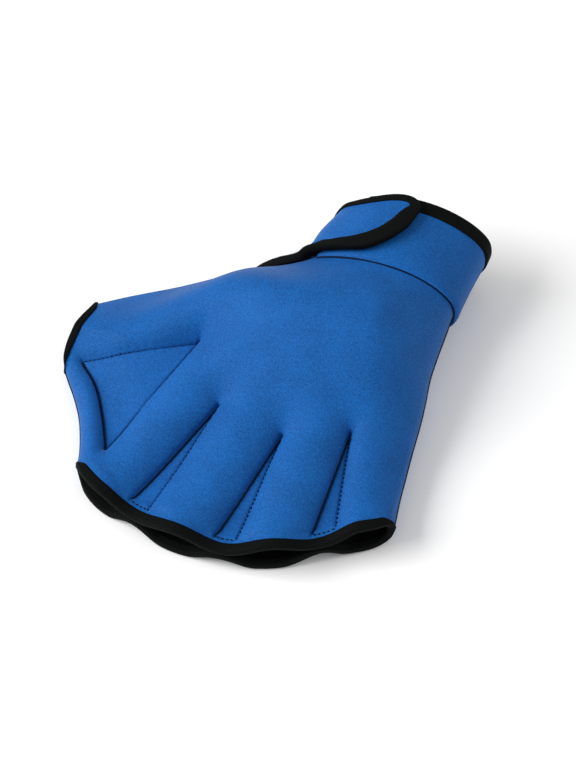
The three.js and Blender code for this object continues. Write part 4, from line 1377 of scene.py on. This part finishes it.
    def tape(self, name: str, node: str, stations: list[tuple[np.ndarray, ...]], lifts: list[np.ndarray]) -> None:
        """Makes an open run of folded tape over the wrist tube.

        Args:
            name: Name of the piece.
            node: CAD node that it stands for.
            stations: For each step back from the edge, its turns and plan heights.
            lifts: For each step, the height of the cloth's inner face over the tube.
        """
        wall = self.form.plan.wall
        outer, inner, normals = [], [], []
        for (turn, y), lift in zip(stations, lifts):
            point, normal = self.frame_at(turn, y)
            outer.append(point + normal * (lift + wall)[:, None])
            inner.append(point + normal * lift[:, None])
            normals.append(normal)
        lo, li, no = (np.stack(part, axis=1) for part in (outer, inner, normals))
        middle = (lo + li) / 2
        out = unit(middle[:, 0] - middle[:, 1])
        sections = tape_section(lo, no, li, -no, out, self.tape_thick, 0.1)
        piece = add_mesh(name, *tube_solid(sections, False), [self.finishes.tape])
        dress(piece, "black_binding", node)

    def build_wrist_tape(self) -> None:
        """Makes the tape round the wrist's open edge."""
        turns = np.linspace(self.slit_turn, self.cuff_end, self.line_steps)
        steps = np.linspace(0, self.tape_width, self.tape_steps)
        rim = self.rim(turns)
        lifts = [np.full(len(turns), self.lap_gap)] * len(steps)
        self.tape("wrist_tape", "wrist_binding", [(turns, rim - step) for step in steps], lifts)

    def strap_outline(self, at: np.ndarray) -> tuple[np.ndarray, np.ndarray]:
        """Lower and upper plan heights of the strap at shares of its length."""
        plan = self.form.plan
        lower = -plan.rim_reach - plan.cuff_length * read_table(STRAP_OUTLINE, 1, at) + self.tape_stack
        upper = -plan.rim_reach - plan.cuff_length * read_table(STRAP_OUTLINE, 2, at) - self.tape_stack
        return lower, upper

    def build_strap(self) -> None:
        """Makes the strap and its tape."""
        at = np.sin(np.linspace(0, 1, self.strap_grid[0]) * pi / 2) ** self.strap_crowding
        turns = mix(self.strap_start, self.strap_tip, at)
        lower, upper = self.strap_outline(at)
        turn, share = np.meshgrid(turns, np.linspace(0, 1, self.strap_grid[1]), indexing="ij")
        y = mix(lower[:, None], upper[:, None], share)
        lift = self.strap_lift(turn.ravel(), y.ravel())
        point, normal = self.frame_at(turn.ravel(), y.ravel())
        wander = self.strap_wander * smooth_noise(point, self.strap_wave, self.strap_seed)
        outer = raised(point, normal, lift + self.form.plan.wall + wander, turn.shape)
        inner = raised(point, normal, lift, turn.shape)
        lined = [self.finishes.knit, self.finishes.lining]
        strap = add_mesh("strap_cloth", *sheet_solid(outer, inner), lined, lined_slots(*turn.shape))
        dress(strap, "blue_knit", "closure_strap")
        self.build_strap_tape(turns, lower, upper)

    def build_strap_tape(self, turns: np.ndarray, lower: np.ndarray, upper: np.ndarray) -> None:
        """Makes the tape round the strap's edge."""
        tip = np.linspace(0, 1, 14)[1:-1]
        edge_turn = np.concatenate([turns, np.full(len(tip), turns[-1]), turns[::-1]])
        edge_y = np.concatenate([lower, mix(lower[-1], upper[-1], tip), upper[::-1]])
        ahead, behind = (self.surface(edge_turn + way, edge_y) for way in (1, -1))
        per_turn = np.linalg.norm(ahead - behind, axis=1) / 2
        dx = np.gradient(edge_turn) * per_turn
        dy = np.gradient(edge_y)
        for _ in range(4):
            dx, dy = (running_mean(part, 2, mode="edge") for part in (dx, dy))
        size = np.hypot(dx, dy)
        stations, lifts = [], []
        # The tape is narrower along the strap's upper edge
        marks = (0, len(turns), len(turns) + len(tip) + self.narrowing, len(edge_turn))
        widths = np.interp(np.arange(len(edge_turn)), marks, (1, 1, self.upper_share, self.upper_share))
        for share in np.linspace(0, 1, self.tape_steps):
            step = widths * self.tape_width * share
            turn = edge_turn - dy / size * step / per_turn
            y = edge_y + dx / size * step
            half = int(round(share * self.tip_smoothing))
            if half:
                turn, y = (running_mean(part, half, mode="reflect", reflect_type="odd") for part in (turn, y))
            stations.append((turn, y))
            lifts.append(self.strap_lift(turn, y))
        self.tape("strap_tape", "strap_binding", stations, lifts)

    def build_pad(self) -> None:
        """Makes the fastener pad between the strap and the cuff."""
        plan = self.form.plan
        turns = np.linspace(*self.pad_turns, self.pad_grid[0])
        shares = np.linspace(*self.pad_shares, self.pad_grid[1])
        turn, share = np.meshgrid(turns, shares)
        y = -plan.rim_reach - plan.cuff_length * share
        low = self.lap_gap + plan.wall + self.seam_gap
        high = low + 2 * (self.tape_stack - self.seam_gap)
        point, normal = self.frame_at(turn.ravel(), y.ravel())
        outer, inner = (raised(point, normal, lift, turn.shape) for lift in (high, low))
        pad = add_mesh("fastener_pad", *sheet_solid(outer, inner), [self.finishes.pad])
        dress(pad, "hook_pad", "hook_patch")

    def build(self) -> None:
        """Makes all pieces of the wrist."""
        self.build_cuff()
        self.build_wrist_tape()
        self.build_strap()
        self.build_pad()


# Stitches


@dataclass
class Stitches:
    """Rows of thread along the stitched lines of the back and palm, and navy cords along the folds that paint shade
    into their creases.
    """

    panels: Panels
    finishes: Finishes
    pitch: float = 2.0
    length: float = 1.4
    radius: float = 0.32
    crease_shade_cord_radius: float = 0.4
    rise: float = 0.55
    crease_shade_cord_pitch: float = 1.0
    first_share: float = 0.75
    look: float = 0.5
    rings: int = 5
    sides: int = 6
    hump: float = 1.1
    sink: float = 0.75
    taper: float = 0.75

    def thread(self, points: np.ndarray, normals: np.ndarray, along: np.ndarray) -> tuple[np.ndarray, list]:
        """One raised stitch for each place.

        Args:
            points: Middles of the stitches.
            normals: Cloth normals there.
            along: Unit directions of the row.

        Returns:
            Points and faces of all stitches.
        """
        across = np.cross(normals, along)
        turns = np.arange(self.sides) / self.sides * 2 * pi
        all_points, all_faces = [], []
        for p, n, a, c in zip(points, normals, along, across):
            section = []
            for t in np.linspace(-1, 1, self.rings):
                centre = p + a * t * self.length / 2 + n * self.radius * (self.hump * (1 - t ** 4) - self.sink)
                width = self.radius * (1 - self.taper * t ** 4)
                section.append([centre + (c * cos(turn) + n * sin(turn)) * width for turn in turns])
            ring_points, faces = tube_solid(np.array(section), False)
            base = len(all_points) * self.rings * self.sides
            all_faces.extend(tuple(v + base for v in face) for face in faces)
            all_points.append(ring_points)
        return np.vstack(all_points), all_faces

    def row(self, side: Side, kind: Line, line: np.ndarray) -> tuple[np.ndarray, np.ndarray, np.ndarray]:
        """Places along one sewn line of a panel.

        Args:
            side: Panel.
            kind: Fold or stitches, which sets the spacing and the depth.
            line: Plan points of the line.

        Returns:
            Points, cloth normals and unit directions of the line.
        """
        form = self.panels.form
        whole = lengths_along(line)[-1]
        pitch = self.pitch if kind is Line.STITCH else self.crease_shade_cord_pitch
        centres = np.arange(pitch * self.first_share, whole, pitch)
        flat = points_at(line, centres)
        lift = form.plan.panel_gap + self.panels.stitch_relief(flat) + self.panels.depth_of(kind) * self.rise
        points = form.plan.place(flat, form.heights(flat)[side.key] + side.value * lift)
        near = [points_at(line, at) for at in (np.minimum(centres + self.look, whole), centres - self.look)]
        ahead, behind = (form.plan.place(at, form.heights(at)[side.key]) for at in near)
        along = unit(ahead - behind)
        up = np.tile([0.0, 0.0, float(side.value)], (len(points), 1))
        return points, square_to(up, along), along

    def build(self) -> None:
        """Makes the thread of both panels, and the navy cords of painted shade along the folds."""
        for side in Side:
            lines = self.panels.sewn_lines()
            rows = [self.row(side, kind, line) for kind, line in lines if kind is Line.STITCH]
            points, normals, along = (np.vstack(part) for part in zip(*rows))
            points, faces = self.thread(points, normals, along)
            # Each fold gets a continuous navy cord in its crease: painted shade
            for kind, line in lines:
                if kind is Line.FOLD:
                    middle, up, _ = self.row(side, kind, line)
                    shade_cord_points, shade_cord_faces = round_line(middle, up, self.crease_shade_cord_radius)
                    faces += [tuple(v + len(points) for v in face) for face in shade_cord_faces]
                    points = np.vstack([points, shade_cord_points])
            # The piece holds the real stitches and the painted-shade cords of the folds
            piece = add_mesh(f"{side.key}_stitches", points, faces, [self.finishes.navy_thread_and_shade_cord])
            dress(piece, "blue_knit")


# Studio


@dataclass(frozen=True)
class AreaLight:
    """Soft square light in a direction given along the camera's right, up and back, in metres and watts."""

    name: str
    direction: Triple
    distance: float
    size: float
    watts: float


@dataclass
class Studio:
    """Floor, soft light and the camera at the photo's angle."""

    azimuth: float = 24.6
    elevation: float = 57.0
    distance: float = 0.826
    lens: float = 85.0
    sensor_height: float = 36.0
    target: Triple = (-0.0109, -0.0128, 0.0)
    world_strength: float = 0.5
    floor_half: float = 3.0
    lights: tuple[AreaLight, ...] = (
        AreaLight("key_light", (-0.9, 0.35, 0.6), 1.6, 0.9, 28),
        AreaLight("fill_light", (0.6, 0.3, 0.85), 2.0, 1.6, 9),
    )

    def axes(self) -> tuple[Vector, Vector, Vector]:
        """Right, up and backward directions of the camera."""
        a, e = radians(self.azimuth), radians(self.elevation)
        back = Vector((cos(e) * sin(a), -cos(e) * cos(a), sin(e)))
        right = Vector((cos(a), sin(a), 0))
        return right, back.cross(right), back

    def camera(self) -> None:
        """Sets up the camera."""
        data = bpy.data.cameras.new("camera")
        data.lens = self.lens
        data.sensor_fit = "VERTICAL"
        data.sensor_height = self.sensor_height
        data.clip_start = 0.01
        data.clip_end = 20
        camera = bpy.data.objects.new("camera", data)
        back = self.axes()[2]
        camera.location = Vector(self.target) + back * self.distance
        camera.rotation_euler = back.to_track_quat("Z", "Y").to_euler()
        bpy.context.scene.collection.objects.link(camera)
        bpy.context.scene.camera = camera

    def area(self, light: AreaLight) -> None:
        """Adds a soft area light that looks at the glove."""
        way = sum((axis * share for axis, share in zip(self.axes(), light.direction)), Vector()).normalized()
        data = bpy.data.lights.new(light.name, "AREA")
        data.size = light.size
        data.energy = light.watts
        lamp = bpy.data.objects.new(light.name, data)
        lamp.location = Vector(self.target) + way * light.distance
        lamp.rotation_euler = way.to_track_quat("Z", "Y").to_euler()
        bpy.context.scene.collection.objects.link(lamp)

    def build(self) -> None:
        """Makes the floor, the lights, the world and the camera."""
        self.camera()
        for light in self.lights:
            self.area(light)
        world = bpy.data.worlds.new("studio")
        world.use_nodes = True
        background = world.node_tree.nodes["Background"]
        background.inputs["Color"].default_value = (1, 1, 1, 1)
        background.inputs["Strength"].default_value = self.world_strength
        bpy.context.scene.world = world
        bpy.context.scene.view_settings.view_transform = "Standard"
        size = self.floor_half
        corners = [(-size, -size, 0), (size, -size, 0), (size, size, 0), (-size, size, 0)]
        mesh = bpy.data.meshes.new("floor")
        mesh.from_pydata(corners, [], [(0, 1, 2, 3)])
        mesh.materials.append(FloorFinish().make())
        floor = bpy.data.objects.new("floor", mesh)
        bpy.context.scene.collection.objects.link(floor)


def main() -> None:
    """Builds the glove and its studio."""
    logging.basicConfig(level=logging.INFO, format="%(message)s")
    Studio().build()
    finishes = Finishes()
    form = FoamForm(GlovePlan())
    panels = Panels(form, finishes)
    panels.build()
    Tapes(panels, finishes).build()
    Wrist(form, finishes).build()
    Stitches(panels, finishes).build()


if __name__ == "__main__":
    main()
